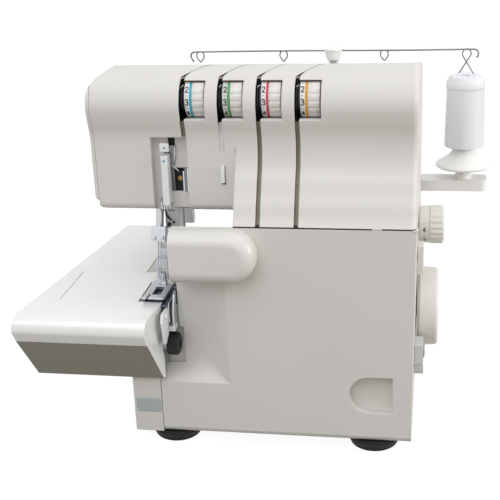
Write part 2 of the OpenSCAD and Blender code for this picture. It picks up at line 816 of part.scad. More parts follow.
module presser_spring() color("#a7aaad") placed() {
    translate([presser_x, presser_y, head_z0 + 17.3]) difference() {
        cylinder(r = presser_bar_r + 2.6, h = head_z1 - head_z0 - 12 - 17.6);
        translate([0, 0, -1]) cylinder(r = presser_bar_r + 0.6, h = 40);
    }
}

module presser_ankle() color("#bfc2c4") placed() {
    difference() {
        union() {
            box(-needle_x - 4.5, presser_x + 5, 42, presser_y + 5.5, 141, 155);
            box(-needle_x - 4.5, -needle_x + 4.5, foot_pin_y - 3, 43, 141, 149);
            for (x = [-needle_x - 4.5, -needle_x + 2.5])
                box(x, x + 2, foot_pin_y - 3, foot_pin_y + 4, foot_pin_z - 3, 142);
        }
        translate([presser_x, presser_y, 145.9]) cylinder(r = presser_bar_r, h = 12);
    }
    bar_x(-needle_x - 4.5, -needle_x + 4.5, foot_pin_y, foot_pin_z, 1.2);
}

module presser_foot() color("#cdd0d2") placed() {
    toe_y = -1;
    heel_y = 40;
    difference() {
        union() {
            along_x(-needle_x - 9.5, -needle_x + 8.2) polygon([[toe_y, foot_z + 4], [toe_y, foot_z + 2.6],
                [toe_y + 6, foot_z], [heel_y - 3, foot_z], [heel_y, foot_z + 1.6], [heel_y, foot_z + 3],
                [toe_y + 6.6, foot_z + 3]]);
            box(-needle_x - 2, -needle_x + 2, foot_pin_y - 3.4, foot_pin_y + 3.2,
                foot_z + 2.9, foot_pin_z + 2.6);
        }
        box(-needle_x - 3.4, -needle_x + 3.4, 9, 26, foot_z - 1, foot_z + 5);
        box(-needle_x - 5.4, -needle_x - 4.2, toe_y - 1, 10, foot_z - 1, foot_z + 5);
        bar_x(-needle_x - 3, -needle_x + 3, foot_pin_y, foot_pin_z, 1.2 + run_gap);
    }
}

lifter_x = -198;
lifter_y = 112;
lifter_z = arm_z + 12;
lifter_pin_r = 2.5;

module presser_lifter() color("#e3e0da") placed() {
    translate([0, lifter_y, lifter_z]) along_x(lifter_x - 4, lifter_x + 4) polygon([[-4, 5], [4, 5], [8, -16],
        [15, -38], [19, -56], [15, -60], [9, -58], [5, -38], [-3, -14]]);
    bar_x(lifter_x - 10, lifter_x + 10, lifter_y, lifter_z, lifter_pin_r);
}

// Knives and their support
module knife_bracket() color("#eceae5") placed() {
    difference() {
        along_x(bracket_x0, bracket_x1) polygon([[-14, bed_low - 0.6], [16.4, bed_low - 0.6], [12, 109],
            [1, 107], [0, 99], [-8, 94], [-12, 95], [-17, 115]]);
        bar_x(-193, -189, -1, 103, 2);
    }
    bar_x(-189.6, -188.4, -6, 117, 2.6);
}

module lower_knife() color("#9b9ea1") placed() {
    box(bracket_x1, bracket_x1 + 1.1, 1, 15.5, 108, bed_z - 0.2);
}

module knife_arm() color("#8d9093") placed() {
    difference() {
        union() {
            bar_x(-194.4, -191.9, knob_y, knob_z, 5.4);
            box(-194.4, -191.9, 1.5, 10, knob_z, 104);
            box(-194.4, knife_right, 3, 13, 99.5, 104);
        }
        bar_x(-195, -191, knob_y, knob_z, knob_shaft_r + run_gap);
    }
}

module upper_knife() color("#a3a6a9") placed() {
    along_x(knife_right - 1.7, knife_right - 0.2)
        polygon([[3, 104], [13, 104], [14, bed_z + 6], [9, bed_z + 4], [3, bed_z - 8]]);
}

module cutting_width_knob() color("#1c1e20") placed() {
    difference() {
        union() {
            bar_x(knob_end - knob_l, knob_end - 1.2, knob_y, knob_z, knob_d / 2);
            bar_x(knob_end - 1.3, knob_end, knob_y, knob_z, knob_d / 2 - 1.2);
            bar_x(support_x0 - 2, knob_end - knob_l + 1, knob_y, knob_z, knob_shaft_r);
        }
        translate([knob_end - 4, knob_y, knob_z]) rotate([0, 90, 0]) cylinder(r = 2.6, h = 5, $fn = 6);
        for (a = [0 : 30 : 330]) bar_x(knob_end - knob_l - 1, knob_end + 1,
            knob_y + (knob_d / 2 + 0.5) * cos(a), knob_z + (knob_d / 2 + 0.5) * sin(a), 1);
    }
}

// Loopers
module looper(i, y, tip, knee) color("#c2c5c8") placed() {
    p = looper_pivots[i];
    difference() {
        union() {
            bar_y(p[0], y, y + 2.4, p[1], 6);
            along_y(y, y + 2.4) polygon([[p[0] - 3.5, p[1]], [p[0] + 4, p[1] + 3], [knee[0] + 4, knee[1] + 2],
                [tip[0] + 3, tip[1] + 3.5], [tip[0], tip[1] + 3], [tip[0] + 1, tip[1] + 1.4],
                [knee[0] - 2.5, knee[1] - 3]]);
        }
        bar_y(p[0], y - 1, y + 4, p[1], 2.5 + run_gap);
    }
}

looper_tips = [[-203, 113], [-190, 117]];
looper_knees = [[-186, 100], [-178, 104]];

module lower_looper() looper(0, looper_y, looper_tips[0], looper_knees[0]);
module upper_looper() looper(1, looper_y + 6, looper_tips[1], looper_knees[1]);

// Feed dogs
module feed_dog(x, y0, y1) color("#9fa2a5") placed() {
    box(x, x + 3.2, y0, 62, 108, 112);
    box(x, x + 3.2, y0, y1, 111, bed_z - 0.6);
    for (y = [y0 : 1.6 : y1 - 1.2])
        along_x(x, x + 3.2)
            polygon([[y, bed_z - 0.7], [y + 1.2, bed_z - 0.7], [y + 0.9, bed_z + 0.5], [y, bed_z - 0.3]]);
}

main_dog = [-211.6, 24.5, 37.5];
differential_dog = [-207.6, 8, 19];

module feed_dog_main() feed_dog(main_dog[0], main_dog[1], main_dog[2]);
module feed_dog_differential() feed_dog(differential_dog[0], differential_dog[1], differential_dog[2]);

// Bed pieces
module needle_plate() color("#d9dbdd") placed() {
    difference() {
        translate([0, 0, bed_z - needle_plate_t]) linear_extrude(needle_plate_t)
            polygon([[needle_plate_x0, free_arm_front], [tongue_x, free_arm_front], [tongue_x, -3],
                     [needle_plate_x1, -3], [needle_plate_x1, needle_plate_back],
                     [needle_plate_x0, needle_plate_back]]);
        box(-212.4, -207.9, 21.3, 40.6, bed_z - 3, bed_z + 1);
        box(-208.0, -203.9, 4.9, 22, bed_z - 3, bed_z + 1);
        box(-needle_x - 2.2, -needle_x + 2.2, 14, 19.5, bed_z - 3, bed_z + 1);
        for (y = [12, 38]) translate([-192.2, y, bed_z - 3]) cylinder(r = 1.3, h = 4);
    }
}

free_arm_r = 6;

// Plan of the free arm, grown by g, as far right as x1
module free_arm_plan(g, x1) {
    polygon(concat([[x1, free_arm_front - g], [-free_arm_reach - g, free_arm_front - g]],
        arc(-free_arm_reach + free_arm_r, free_arm_back - free_arm_r, free_arm_r + g, 180, 90, 6),
        [[x1, free_arm_back + g]]));
}

module free_arm_cover() color("#e9e6e1") placed() {
    difference() {
        translate([0, 0, bed_z - free_arm_h]) linear_extrude(free_arm_h) free_arm_plan(0, frame_x0 - seam);
        box(-free_arm_reach + wall, -body_w + 7, free_arm_front + wall, free_arm_back - wall,
            bed_z - free_arm_h + wall, bed_low);
    }
    difference() {
        box(frame_x0 - seam - 1, needle_plate_x1, free_arm_front, free_arm_back, bed_low, bed_z);
        box(needle_plate_x0 - seam, needle_plate_x1 + 1, 0, needle_plate_back + seam, bed_low - 1, bed_z + 1);
    }
}

lip_r = 11;

function lip_line(t) = concat(
    [[4, bed_z - t]],
    arc(-lip_out + lip_r, bed_z - lip_r, lip_r - t, 90, 190, 10),
    [[-lip_out + 4.6 + t * 0.8, bed_z - lip_drop + t * 0.2], [-5 + t, skirt_z]]);

module cloth_plate_plan(t) {
    polygon([[-plate_reach + t, -lip_out + t], [-plate_reach + t + plate_taper, plate_back - t],
             [-body_w - 0.6, plate_back - t], [-body_w - 0.6, 3.2], [plate_right, 3.2],
             [plate_right + t, -0.8], [plate_right - 4.5 - t, -lip_out]]);
}

module cloth_plate() color("#efedea") placed() {
    difference() {
        union() {
            intersection() {
                linear_extrude(bed_z + 1) cloth_plate_plan(0);
                difference() {
                    along_x(-plate_reach - 1, -185) polygon(concat(lip_line(0), [[4, skirt_z]]));
                    difference() {
                        along_x(-plate_reach + wall, -185)
                            polygon(concat(lip_line(wall), [[6, skirt_z - 1], [6, bed_low]]));
                        plate_end_wall();
                    }
                    box(-plate_reach - 2, -180, -1, 10, 0, bed_low);
                }
            }
            intersection() {
                linear_extrude(bed_z + 1) cloth_plate_plan(0);
                box(-plate_reach, -190, -25, plate_back, bed_low, bed_z);
            }
            intersection() {
                linear_extrude(bed_z + 1) difference() {
                    cloth_plate_plan(0);
                    cloth_plate_plan(wall);
                }
                box(-plate_reach, -body_w - 8, -1, plate_back, bed_z - 22, bed_z - 1);
            }
        }
        translate([0, 0, bed_z - free_arm_h - 8]) linear_extrude(free_arm_h + 10)
            free_arm_plan(seam, -body_w + 40);
    }
}

module plate_end_wall() {
    along_y(-lip_out, 0) polygon([[-200.5, bed_z], [-190, bed_z], [-188, skirt_z - 2], [-198.5, skirt_z - 2]]);
}

// Drive
module main_shaft() color("#aeb1b4") placed() {
    bar_x(frame_x0 - 0.4, handwheel_x + handwheel_w - 4, shaft_y, shaft_z, shaft_r);
    for (x = [-150, -120]) bar_x(x, x + 8, shaft_y + 2.5, shaft_z, shaft_r + 5);
}

handwheel_x = 3.4;

module main_bearings() color("#b08d57") placed() {
    for (x = [frame_x0, side_wall_x]) difference() {
        bar_x(x, x + 6, shaft_y, shaft_z, bush_r);
        bar_x(x - 1, x + 7, shaft_y, shaft_z, shaft_r + run_gap);
    }
}

module handwheel() color("#e8e5df") placed() {
    r = handwheel_d / 2;
    translate([handwheel_x, shaft_y, shaft_z]) rotate([0, 90, 0]) difference() {
        rotate_extrude() polygon(concat([[0, 0], [r - 1, 0], [r, 1], [r - 0.8, handwheel_w - 3]],
            arc(r - 3.8, handwheel_w - 3, 3, 0, 90, 5), [[r - 9, handwheel_w - 2], [0, handwheel_w - 2]]));
        translate([0, 0, -1]) cylinder(r = shaft_r, h = handwheel_w - 3);
    }
}

module drive_pulley() color("#2c2e31") placed() {
    difference() {
        union() {
            bar_x(pulley_x, pulley_x + pulley_w, shaft_y, shaft_z, big_pulley_r);
            for (x = [pulley_x - 1, pulley_x + pulley_w]) bar_x(x, x + 1, shaft_y, shaft_z, big_pulley_r + 2.6);
            bar_x(pulley_x + pulley_w, handwheel_x, shaft_y, shaft_z, hub_r);
        }
        bar_x(pulley_x - 2, handwheel_x + 1, shaft_y, shaft_z, shaft_r);
    }
}

module motor_pulley() color("#9a9da0") placed() {
    bar_x(pulley_x, pulley_x + pulley_w, motor_y, motor_z, small_pulley_r);
    for (x = [pulley_x - 1, pulley_x + pulley_w]) bar_x(x, x + 1, motor_y, motor_z, small_pulley_r + 2.6);
    bar_x(motor_x1 + 2, pulley_x + eps, motor_y, motor_z, 3);
}

module belt_outline(t) {
    d = [motor_y - shaft_y, motor_z - shaft_z];
    n = norm(d);
    u = d / n;
    lean = asin((big_pulley_r - small_pulley_r) / n);
    a0 = atan2(u[1], u[0]);
    r1 = big_pulley_r + 0.3 + t;
    r2 = small_pulley_r + 0.3 + t;
    polygon(concat(
        arc(shaft_y, shaft_z, r1, a0 + 90 - lean, a0 + 270 + lean, 30),
        arc(motor_y, motor_z, r2, a0 - 90 + lean, a0 + 90 - lean, 16)));
}

module drive_belt() color("#1b1c1e") placed() {
    along_x(pulley_x + 0.6, pulley_x + pulley_w - 0.6) difference() {
        belt_outline(belt_t);
        belt_outline(0);
    }
}

module motor() color("#5b5e62") placed() {
    difference() {
        union() {
            bar_x(motor_x0, motor_x1, motor_y, motor_z, motor_r);
            bar_x(motor_x1 - 0.1, motor_x1 + 5, motor_y, motor_z, 8);
            bar_x(motor_x0 - 6, motor_x0 + 0.1, motor_y, motor_z, 9);
        }
        bar_x(motor_x1 - 8, motor_x1 + 6, motor_y, motor_z, 3 + run_gap);
        for (a = [0 : 30 : 330]) bar_x(motor_x0 + 8, motor_x1 - 6,
            motor_y + (motor_r + 1) * cos(a), motor_z + (motor_r + 1) * sin(a), 2.4);
    }
    box(motor_x0 + 8, motor_x1 - 28, motor_y - 9, motor_y + 9, motor_z - motor_r - 0.4, motor_z - motor_r + 3);
}

// Tension units: one post per thread carries two discs, a spring and a dial
spring_left = -4.5;

module at_posts() {
    for (i = [1 : 4]) translate([slot_left(i), 0, 0]) children();
}

module tension_bracket() color("#b7babd") placed() {
    difference() {
        union() {
            box(slot_left(1) - 6, slot_left(4) + post_l, beam_y - 2, beam_y, head_z1 + 6, dial_z + 13);
            box(slot_left(1) + 10, slot_left(4) + post_l, beam_y - 2, beam_y, beam_z - 8, dial_z + 13);
            at_posts() box(-6, spring_left, dial_y - 8, beam_y, dial_z - 8, dial_z + 8);
            at_posts() bar_x(-5, post_l - 6, dial_y, dial_z, post_r);
        }
    }
}

module tension_sets() color("#c8cbcd") placed() at_posts() {
    for (x = [0.2, slot_w - 1.4]) difference() {
        bar_x(x, x + 1.2, dial_y, dial_z, 11);
        bar_x(x - 1, x + 3, dial_y, dial_z, post_r + run_gap);
    }
    difference() {
        bar_x(spring_left + 0.05, 0.15, dial_y, dial_z, 4.6);
        bar_x(spring_left - 1, 1, dial_y, dial_z, post_r + 0.5);
    }
}

module tension_dial(i) color("#ece8de") placed() {
    translate([slot_left(i) + dial_left, dial_y, dial_z]) rotate([0, 90, 0]) difference() {
        union() {
            cylinder(r = dial_r - 0.3, h = band_w);
            translate([0, 0, band_w - 0.1]) cylinder(r = dial_r, h = dial_w - band_w + 0.1);
        }
        translate([0, 0, -1]) cylinder(r = post_r + run_gap, h = dial_w + 2);
        for (a = [0 : 20 : 340])
            rotate(a) translate([dial_r + 0.9, 0, band_w + 0.8]) cylinder(r = 1.6, h = dial_w);
    }
}

module tension_dial_1() tension_dial(1);
module tension_dial_2() tension_dial(2);
module tension_dial_3() tension_dial(3);
module tension_dial_4() tension_dial(4);

// Controls on the right side
dial_face_x = 22;

module stitch_length_dial() color("#e6e2da") placed() {
    r = length_dial_d / 2;
    translate([0, shaft_y, length_dial_z]) rotate([0, 90, 0]) difference() {
        union() {
            translate([0, 0, 3]) cylinder(r = r - 0.6, h = 8.1);
            translate([0, 0, 11]) cylinder(r = r, h = dial_face_x - 12);
            translate([0, 0, dial_face_x - 1.1]) cylinder(r = r - 1.4, h = 1.1);
            translate([0, 0, side_wall_x]) cylinder(r = stem_r, h = 4 - side_wall_x);
        }
        for (a = [0 : 18 : 342]) rotate(a) translate([r + 0.8, 0, 12]) cylinder(r = 1.7, h = 20);
    }
}

module differential_lever() color("#d8d4cb") placed() {
    box(side_x(lever_z0 + 29) + 0.3, 6.6, lever_y - 7, lever_y + 7, lever_z0, lever_z0 + 24);
    box(-8, 2.3, lever_y - 2.4, lever_y + 2.4, lever_z0 + 9, lever_z0 + 15);
}

module switch_housing() color("#9ea2a5") placed() {
    difference() {
        union() {
            box(-20, 6.4, switch_y - 7.6, switch_y + 7.6, switch_z0 + 0.4, switch_z1 - 0.4);
            box(side_x(switch_z1) + 0.1, 7.6, switch_y - 9.5, switch_y + 9.5, switch_z0 - 1.4, switch_z1 + 1.2);
        }
        box(0, 9, switch_y - 6, switch_y + 6, switch_z0 + 1.6, switch_z1 - 1.6);
        bar_y(3.4, switch_y - 7, switch_y + 7, (switch_z0 + switch_z1) / 2, 1 + run_gap);
    }
    bar_x(side_x(switch_z0) + 0.05, 8, switch_y + 2, switch_z0 - 8.4, 5.8);
}

module power_switch() color("#7e8286") placed() {
    intersection() {
        bar_y(-2, switch_y - 5.6, switch_y + 5.6, (switch_z0 + switch_z1) / 2, 11);
        box(2.2, 10, switch_y - 5.6, switch_y + 5.6, switch_z0 + 2.8, switch_z1 - 2.8);
    }
    bar_y(3.4, switch_y - 6.8, switch_y + 6.8, (switch_z0 + switch_z1) / 2, 1);
}

// Thread stand
stand_r = 5;

module spool_stand() color("#eae7e2") placed() {
    x0 = pole_x - stand_l / 2;
    x1 = pole_x + stand_l / 2;
    y0 = stand_y - stand_d / 2;
    y1 = stand_y + stand_d / 2;
    difference() {
        union() {
            translate([0, 0, stand_z]) linear_extrude(stand_h) polygon(concat(
                arc(x1 - stand_r, y0 + stand_r, stand_r, -90, 0, 5),
                arc(x1 - stand_r, y1 - stand_r, stand_r, 0, 90, 5),
                arc(x0 + stand_r, y1 - stand_r, stand_r, 90, 180, 5),
                arc(x0 + stand_r, y0 + stand_r, stand_r, 180, 270, 5)));
            box(pole_x - 34, pole_x + 34, body_d, stand_y, stand_z - 2, stand_z + stand_h);
        }
        translate([0, 0, stand_z - 3]) linear_extrude(stand_h) difference() {
            translate([x0 + wall, y0 + wall]) square([stand_l - 2 * wall, stand_d - 2 * wall]);
            for (o = concat([0], pin_offsets)) translate([pole_x + o, stand_y]) circle(r = 7.5);
            translate([pole_x - 35, body_d]) square([70, stand_y - body_d - 5]);
        }
        translate([pole_x, stand_y, stand_z + 2]) cylinder(r = pole_r, h = stand_h);
    }
}

stand_top = stand_z + stand_h;

module spool_holders() color("#eeece7") placed() {
    for (o = pin_offsets) translate([pole_x + o, stand_y, stand_top]) {
        rotate_extrude() polygon(concat([[0, 0], [7.5, 0], [7.5, 3], [5.5, 5], [5.5, 8], [flange_r - 1.5, 11]],
            [[flange_r, 12.2], [flange_r - 0.4, 14], [flange_r - 6, 17.5], [13, 22], [9, 27], [pin_r, 28]],
            [[pin_r, pin_h - 1.5], [pin_r - 1.5, pin_h], [0, pin_h]]));
    }
}

spool_z = stand_top + 27.2;
spool_h = 66;

module thread_spool() color("#f4f4f2") placed() translate([right_spool_x, stand_y, spool_z]) {
    difference() {
        rotate_extrude() polygon([[0, 1.2], [13, 1.2], [17.6, 3], [16.4, 55], [17, 56], [17, 60],
            [14.2, spool_h], [0, spool_h]]);
        translate([0, 0, -1]) cylinder(r = pin_r + 0.8, h = spool_h + 2);
    }
}

rod_r = pole_r - 1.2;
tube_top = wire_z - 8.5;

module pole_tube() color("#c3c6c8") placed() translate([pole_x, stand_y, 0]) difference() {
    translate([0, 0, stand_z + 2]) cylinder(r = pole_r, h = tube_top - stand_z - 2);
    translate([0, 0, stand_z + 4]) cylinder(r = rod_r + run_gap, h = tube_top);
}

module pole_rod() color("#d0d3d5") placed() {
    translate([pole_x, stand_y, stand_z + 8]) cylinder(r = rod_r, h = wire_z - stand_z - 8 - 2);
}

module guide_holder() color("#eeebe4") placed() translate([pole_x, stand_y, wire_z]) difference() {
    union() {
        translate([0, 0, -8]) cylinder(r1 = 5.6, r2 = 8.4, h = 9);
        translate([0, 0, 0.9]) cylinder(r = 8.4, h = 1.6);
    }
    translate([0, 0, -9]) cylinder(r = rod_r, h = 7);
    rotate([0, 90, 0]) translate([0, 0, -10]) cylinder(r = wire_r, h = 20);
}

loop_r = 3.4;

module wire_loop(x) {
    translate([x, stand_y, wire_z - loop_r - wire_r * 0.4]) rotate([90, 0, 0])
        rotate_extrude() translate([loop_r, 0]) circle(r = wire_r * 0.9, $fn = 16);
}

module guide_wire() color("#8f9396") placed() {
    x0 = pole_x + pin_offsets[0];
    x1 = pole_x + pin_offsets[3];
    bar_x(x0 - 9, x1 + 6, stand_y, wire_z, wire_r);
    for (o = pin_offsets) wire_loop(pole_x + o);
    for (e = [[x0 - 9, 180], [x1 + 6, 0]]) translate([e[0], stand_y, wire_z - 4]) rotate([90, 0, 0])
        intersection() {
            rotate_extrude() translate([4, 0]) circle(r = wire_r, $fn = 16);
            translate([e[1] > 0 ? -8 : 0, -2, -2]) cube([8, 8, 4]);
        }
}

base_plate();
rubber_feet();
case_screws();
machine_frame();
bed_cover();
looper_cover();
looper_guard();
cover_hinge_pin();
front_cover();
rear_cover();
arm_end_cover();
side_cover();
free_arm_cover();
carry_handle();
cloth_plate();
needle_plate();
feed_dog_main();
feed_dog_differential();
presser_foot();
presser_ankle();
presser_bar();
presser_spring();
presser_lifter();
needle_bar();
needle_clamp();
needles();
take_up_cover();
thread_guides();
upper_looper();
lower_looper();
upper_knife();
knife_arm();
lower_knife();
knife_bracket();
cutting_width_knob();
main_shaft();
main_bearings();
handwheel();
drive_pulley();
drive_belt();
motor_pulley();
motor();
tension_bracket();
tension_dial_1();
tension_dial_2();
tension_dial_3();
tension_dial_4();
tension_sets();
stitch_length_dial();
differential_lever();
power_switch();
switch_housing();
spool_stand();
spool_holders();
thread_spool();
pole_tube();
pole_rod();
guide_holder();
guide_wire();
label_plate();
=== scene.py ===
import bmesh
import bpy
import json
import math
from mathutils import Matrix, Vector

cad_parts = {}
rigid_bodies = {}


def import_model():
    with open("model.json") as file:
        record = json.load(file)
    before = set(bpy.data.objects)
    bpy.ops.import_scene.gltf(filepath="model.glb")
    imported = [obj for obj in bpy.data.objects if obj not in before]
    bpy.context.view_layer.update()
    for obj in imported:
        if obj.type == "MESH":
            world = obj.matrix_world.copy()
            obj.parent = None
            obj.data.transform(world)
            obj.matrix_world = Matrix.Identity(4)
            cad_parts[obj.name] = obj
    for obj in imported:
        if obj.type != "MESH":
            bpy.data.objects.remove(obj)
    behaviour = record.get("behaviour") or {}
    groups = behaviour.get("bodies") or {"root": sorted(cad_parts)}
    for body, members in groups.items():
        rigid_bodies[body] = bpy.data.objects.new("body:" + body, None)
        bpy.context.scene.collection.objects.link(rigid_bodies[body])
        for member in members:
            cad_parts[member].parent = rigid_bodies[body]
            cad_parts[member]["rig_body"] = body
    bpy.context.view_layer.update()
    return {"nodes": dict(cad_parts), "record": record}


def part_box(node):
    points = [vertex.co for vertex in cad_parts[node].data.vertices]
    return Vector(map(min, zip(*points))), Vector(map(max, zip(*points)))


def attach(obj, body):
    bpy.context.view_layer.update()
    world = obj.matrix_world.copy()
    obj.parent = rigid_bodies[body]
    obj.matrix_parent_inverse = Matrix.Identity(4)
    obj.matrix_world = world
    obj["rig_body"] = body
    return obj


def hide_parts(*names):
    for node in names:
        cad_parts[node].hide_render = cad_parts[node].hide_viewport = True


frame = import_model()
nodes = frame["nodes"]
bodyOf = {name: node["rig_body"] for name, node in nodes.items()}
print("frame loaded")

# Lengths are in millimetres from the casing's front lower right corner: x runs to the left as
# negative, y to the back, z up. at() turns them into the frame's metres.
casing = {"draft": 1.8, "seam": 188.0, "wall": 2.4, "split": 99.8, "towerLeft": -134.8,
          "armUnder": 196.0}
coverLow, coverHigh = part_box("looper_cover")
origin = Vector((coverHigh.x - casing["draft"] / 1000, coverLow.y, 0))
casing["top"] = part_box("front_cover")[1].z * 1000


def at(x, y, z):
    return origin + Vector((x, y, z)) / 1000


def linear(hexColour):
    # sRGB hex to the linear values that the shaders take
    channels = [int(hexColour[i:i + 2], 16) / 255 for i in (1, 3, 5)]
    return (*[c / 12.92 if c <= 0.04045 else ((c + 0.055) / 1.055) ** 2.4 for c in channels], 1.0)


def addNode(tree, kind, settings=None, inputs=None, links=None):
    node = tree.nodes.new(kind)
    for key, value in (settings or {}).items():
        setattr(node, key, value)
    for key, value in (inputs or {}).items():
        node.inputs[key].default_value = value
    for key, source in (links or {}).items():
        tree.links.new(source, node.inputs[key])
    return node


def emptyTree(owner):
    owner.use_nodes = True
    owner.node_tree.nodes.clear()
    return owner.node_tree


def startMaterial(name, values):
    # values go straight on the shader's own sockets
    material = bpy.data.materials.new(name)
    tree = emptyTree(material)
    shader = addNode(tree, "ShaderNodeBsdfPrincipled", inputs=values)
    addNode(tree, "ShaderNodeOutputMaterial", links={"Surface": shader.outputs["BSDF"]})
    place = addNode(tree, "ShaderNodeTexCoord")
    return material, tree, shader, place.outputs["Object"]


def perMetre(millimetres):
    # a pattern's scale from its real size
    return 1000 / millimetres


def mixedColour(tree, factor, dark, light):
    return addNode(tree, "ShaderNodeMix", {"data_type": "RGBA"},
                   {6: linear(dark), 7: linear(light)}, {0: factor}).outputs[2]


def unevenShine(tree, shader, pattern, low, high):
    # roughness that follows a pattern between two values
    spread = addNode(tree, "ShaderNodeMapRange",
                     inputs={"From Min": 0.3, "From Max": 0.7, "To Min": low, "To Max": high},
                     links={"Value": pattern})
    tree.links.new(spread.outputs["Result"], shader.inputs["Roughness"])


def addBump(tree, shader, height, strength, distance):
    bump = addNode(tree, "ShaderNodeBump", inputs={"Strength": strength, "Distance": distance},
                   links={"Height": height})
    tree.links.new(bump.outputs["Normal"], shader.inputs["Normal"])


# drift and grain sizes in millimetres, bump depths in metres
plastic = {"ior": 1.54, "coatRoughness": 0.12, "drift": 60, "smoother": 0.03, "rougher": 0.04,
           "pitDepth": 0.0002}


def mouldedPlastic(name, light, dark, roughness, grain, strength, coat=0.0, shine=0.5):
    # Injection-moulded plastic: one even colour with a slow drift of tone, a spark-eroded
    # grain that breaks the reflection up, and a shine that varies a little with handling
    material, tree, shader, place = startMaterial(name, {
        "IOR": plastic["ior"], "Coat Weight": coat, "Coat Roughness": plastic["coatRoughness"],
        "Specular IOR Level": shine})
    drift = addNode(tree, "ShaderNodeTexNoise",
                    inputs={"Scale": perMetre(plastic["drift"]), "Detail": 3.0},
                    links={"Vector": place}).outputs["Fac"]
    tree.links.new(mixedColour(tree, drift, dark, light), shader.inputs["Base Color"])
    unevenShine(tree, shader, drift, roughness - plastic["smoother"],
                roughness + plastic["rougher"])
    pits = addNode(tree, "ShaderNodeTexNoise", inputs={"Scale": perMetre(grain), "Detail": 2.0},
                   links={"Vector": place})
    addBump(tree, shader, pits.outputs["Fac"], strength, plastic["pitDepth"])
    return material


metal = {"smoother": 0.05, "rougher": 0.08, "lineDepth": 0.0001}


def workedMetal(name, light, dark, roughness, streak, stretch, strength=0.25):
    # Metal with the fine lines of its grinding, drawing or rolling along one axis;
    # streak is the spacing of the lines, drawn coarse enough to show
    material, tree, shader, place = startMaterial(name, {"Metallic": 1.0})
    lines = addNode(tree, "ShaderNodeMapping", inputs={"Scale": stretch}, links={"Vector": place})
    grain = addNode(tree, "ShaderNodeTexNoise",
                    inputs={"Scale": perMetre(streak), "Detail": 4.0, "Roughness": 0.6},
                    links={"Vector": lines.outputs["Vector"]}).outputs["Fac"]
    tree.links.new(mixedColour(tree, grain, dark, light), shader.inputs["Base Color"])
    unevenShine(tree, shader, grain, roughness - metal["smoother"], roughness + metal["rougher"])
    addBump(tree, shader, grain, strength, metal["lineDepth"])
    return material


rubber = {"bloom": 9, "light": "#292A2A", "dark": "#1C1D1D", "strength": 0.3, "depth": 0.0003}


def mouldedRubber():
    # Black moulded rubber: deep and matt, greyed a little where dust sits in its bloom
    material, tree, shader, place = startMaterial("mouldedRubber", {
        "Roughness": 0.7, "IOR": 1.52, "Specular IOR Level": 0.2})
    bloom = addNode(tree, "ShaderNodeTexNoise",
                    inputs={"Scale": perMetre(rubber["bloom"]), "Detail": 5.0},
                    links={"Vector": place}).outputs["Fac"]
    tree.links.new(mixedColour(tree, bloom, rubber["dark"], rubber["light"]),
                   shader.inputs["Base Color"])
    addBump(tree, shader, bloom, rubber["strength"], rubber["depth"])
    return material


yarn = {"pitch": 0.6, "lean": 14, "light": "#E8E9EC", "dark": "#DDDEE2", "strength": 0.2,
        "depth": 0.0001}


def woundThread():
    # Polyester thread cross-wound on a cone: a soft silky white with faint crossing turns,
    # drawn at 0.6 mm because the real 0.2 mm turns are too fine to show
    material, tree, shader, place = startMaterial("woundThread", {
        "Roughness": 0.5, "Sheen Weight": 0.3, "Sheen Roughness": 0.4})
    turns = []
    for lean in (yarn["lean"], -yarn["lean"]):
        tilt = addNode(tree, "ShaderNodeMapping", inputs={"Rotation": (0, math.radians(lean), 0)},
                       links={"Vector": place})
        wave = addNode(tree, "ShaderNodeTexWave", {"bands_direction": "Z"},
                       {"Scale": perMetre(yarn["pitch"]) / 20 * math.pi, "Distortion": 0.3,
                        "Detail": 1.0}, {"Vector": tilt.outputs["Vector"]})
        turns.append(wave.outputs["Fac"])
    crossed = addNode(tree, "ShaderNodeMath", {"operation": "MAXIMUM"},
                      links={0: turns[0], 1: turns[1]}).outputs[0]
    tree.links.new(mixedColour(tree, crossed, yarn["dark"], yarn["light"]),
                   shader.inputs["Base Color"])
    addBump(tree, shader, crossed, yarn["strength"], yarn["depth"])
    return material


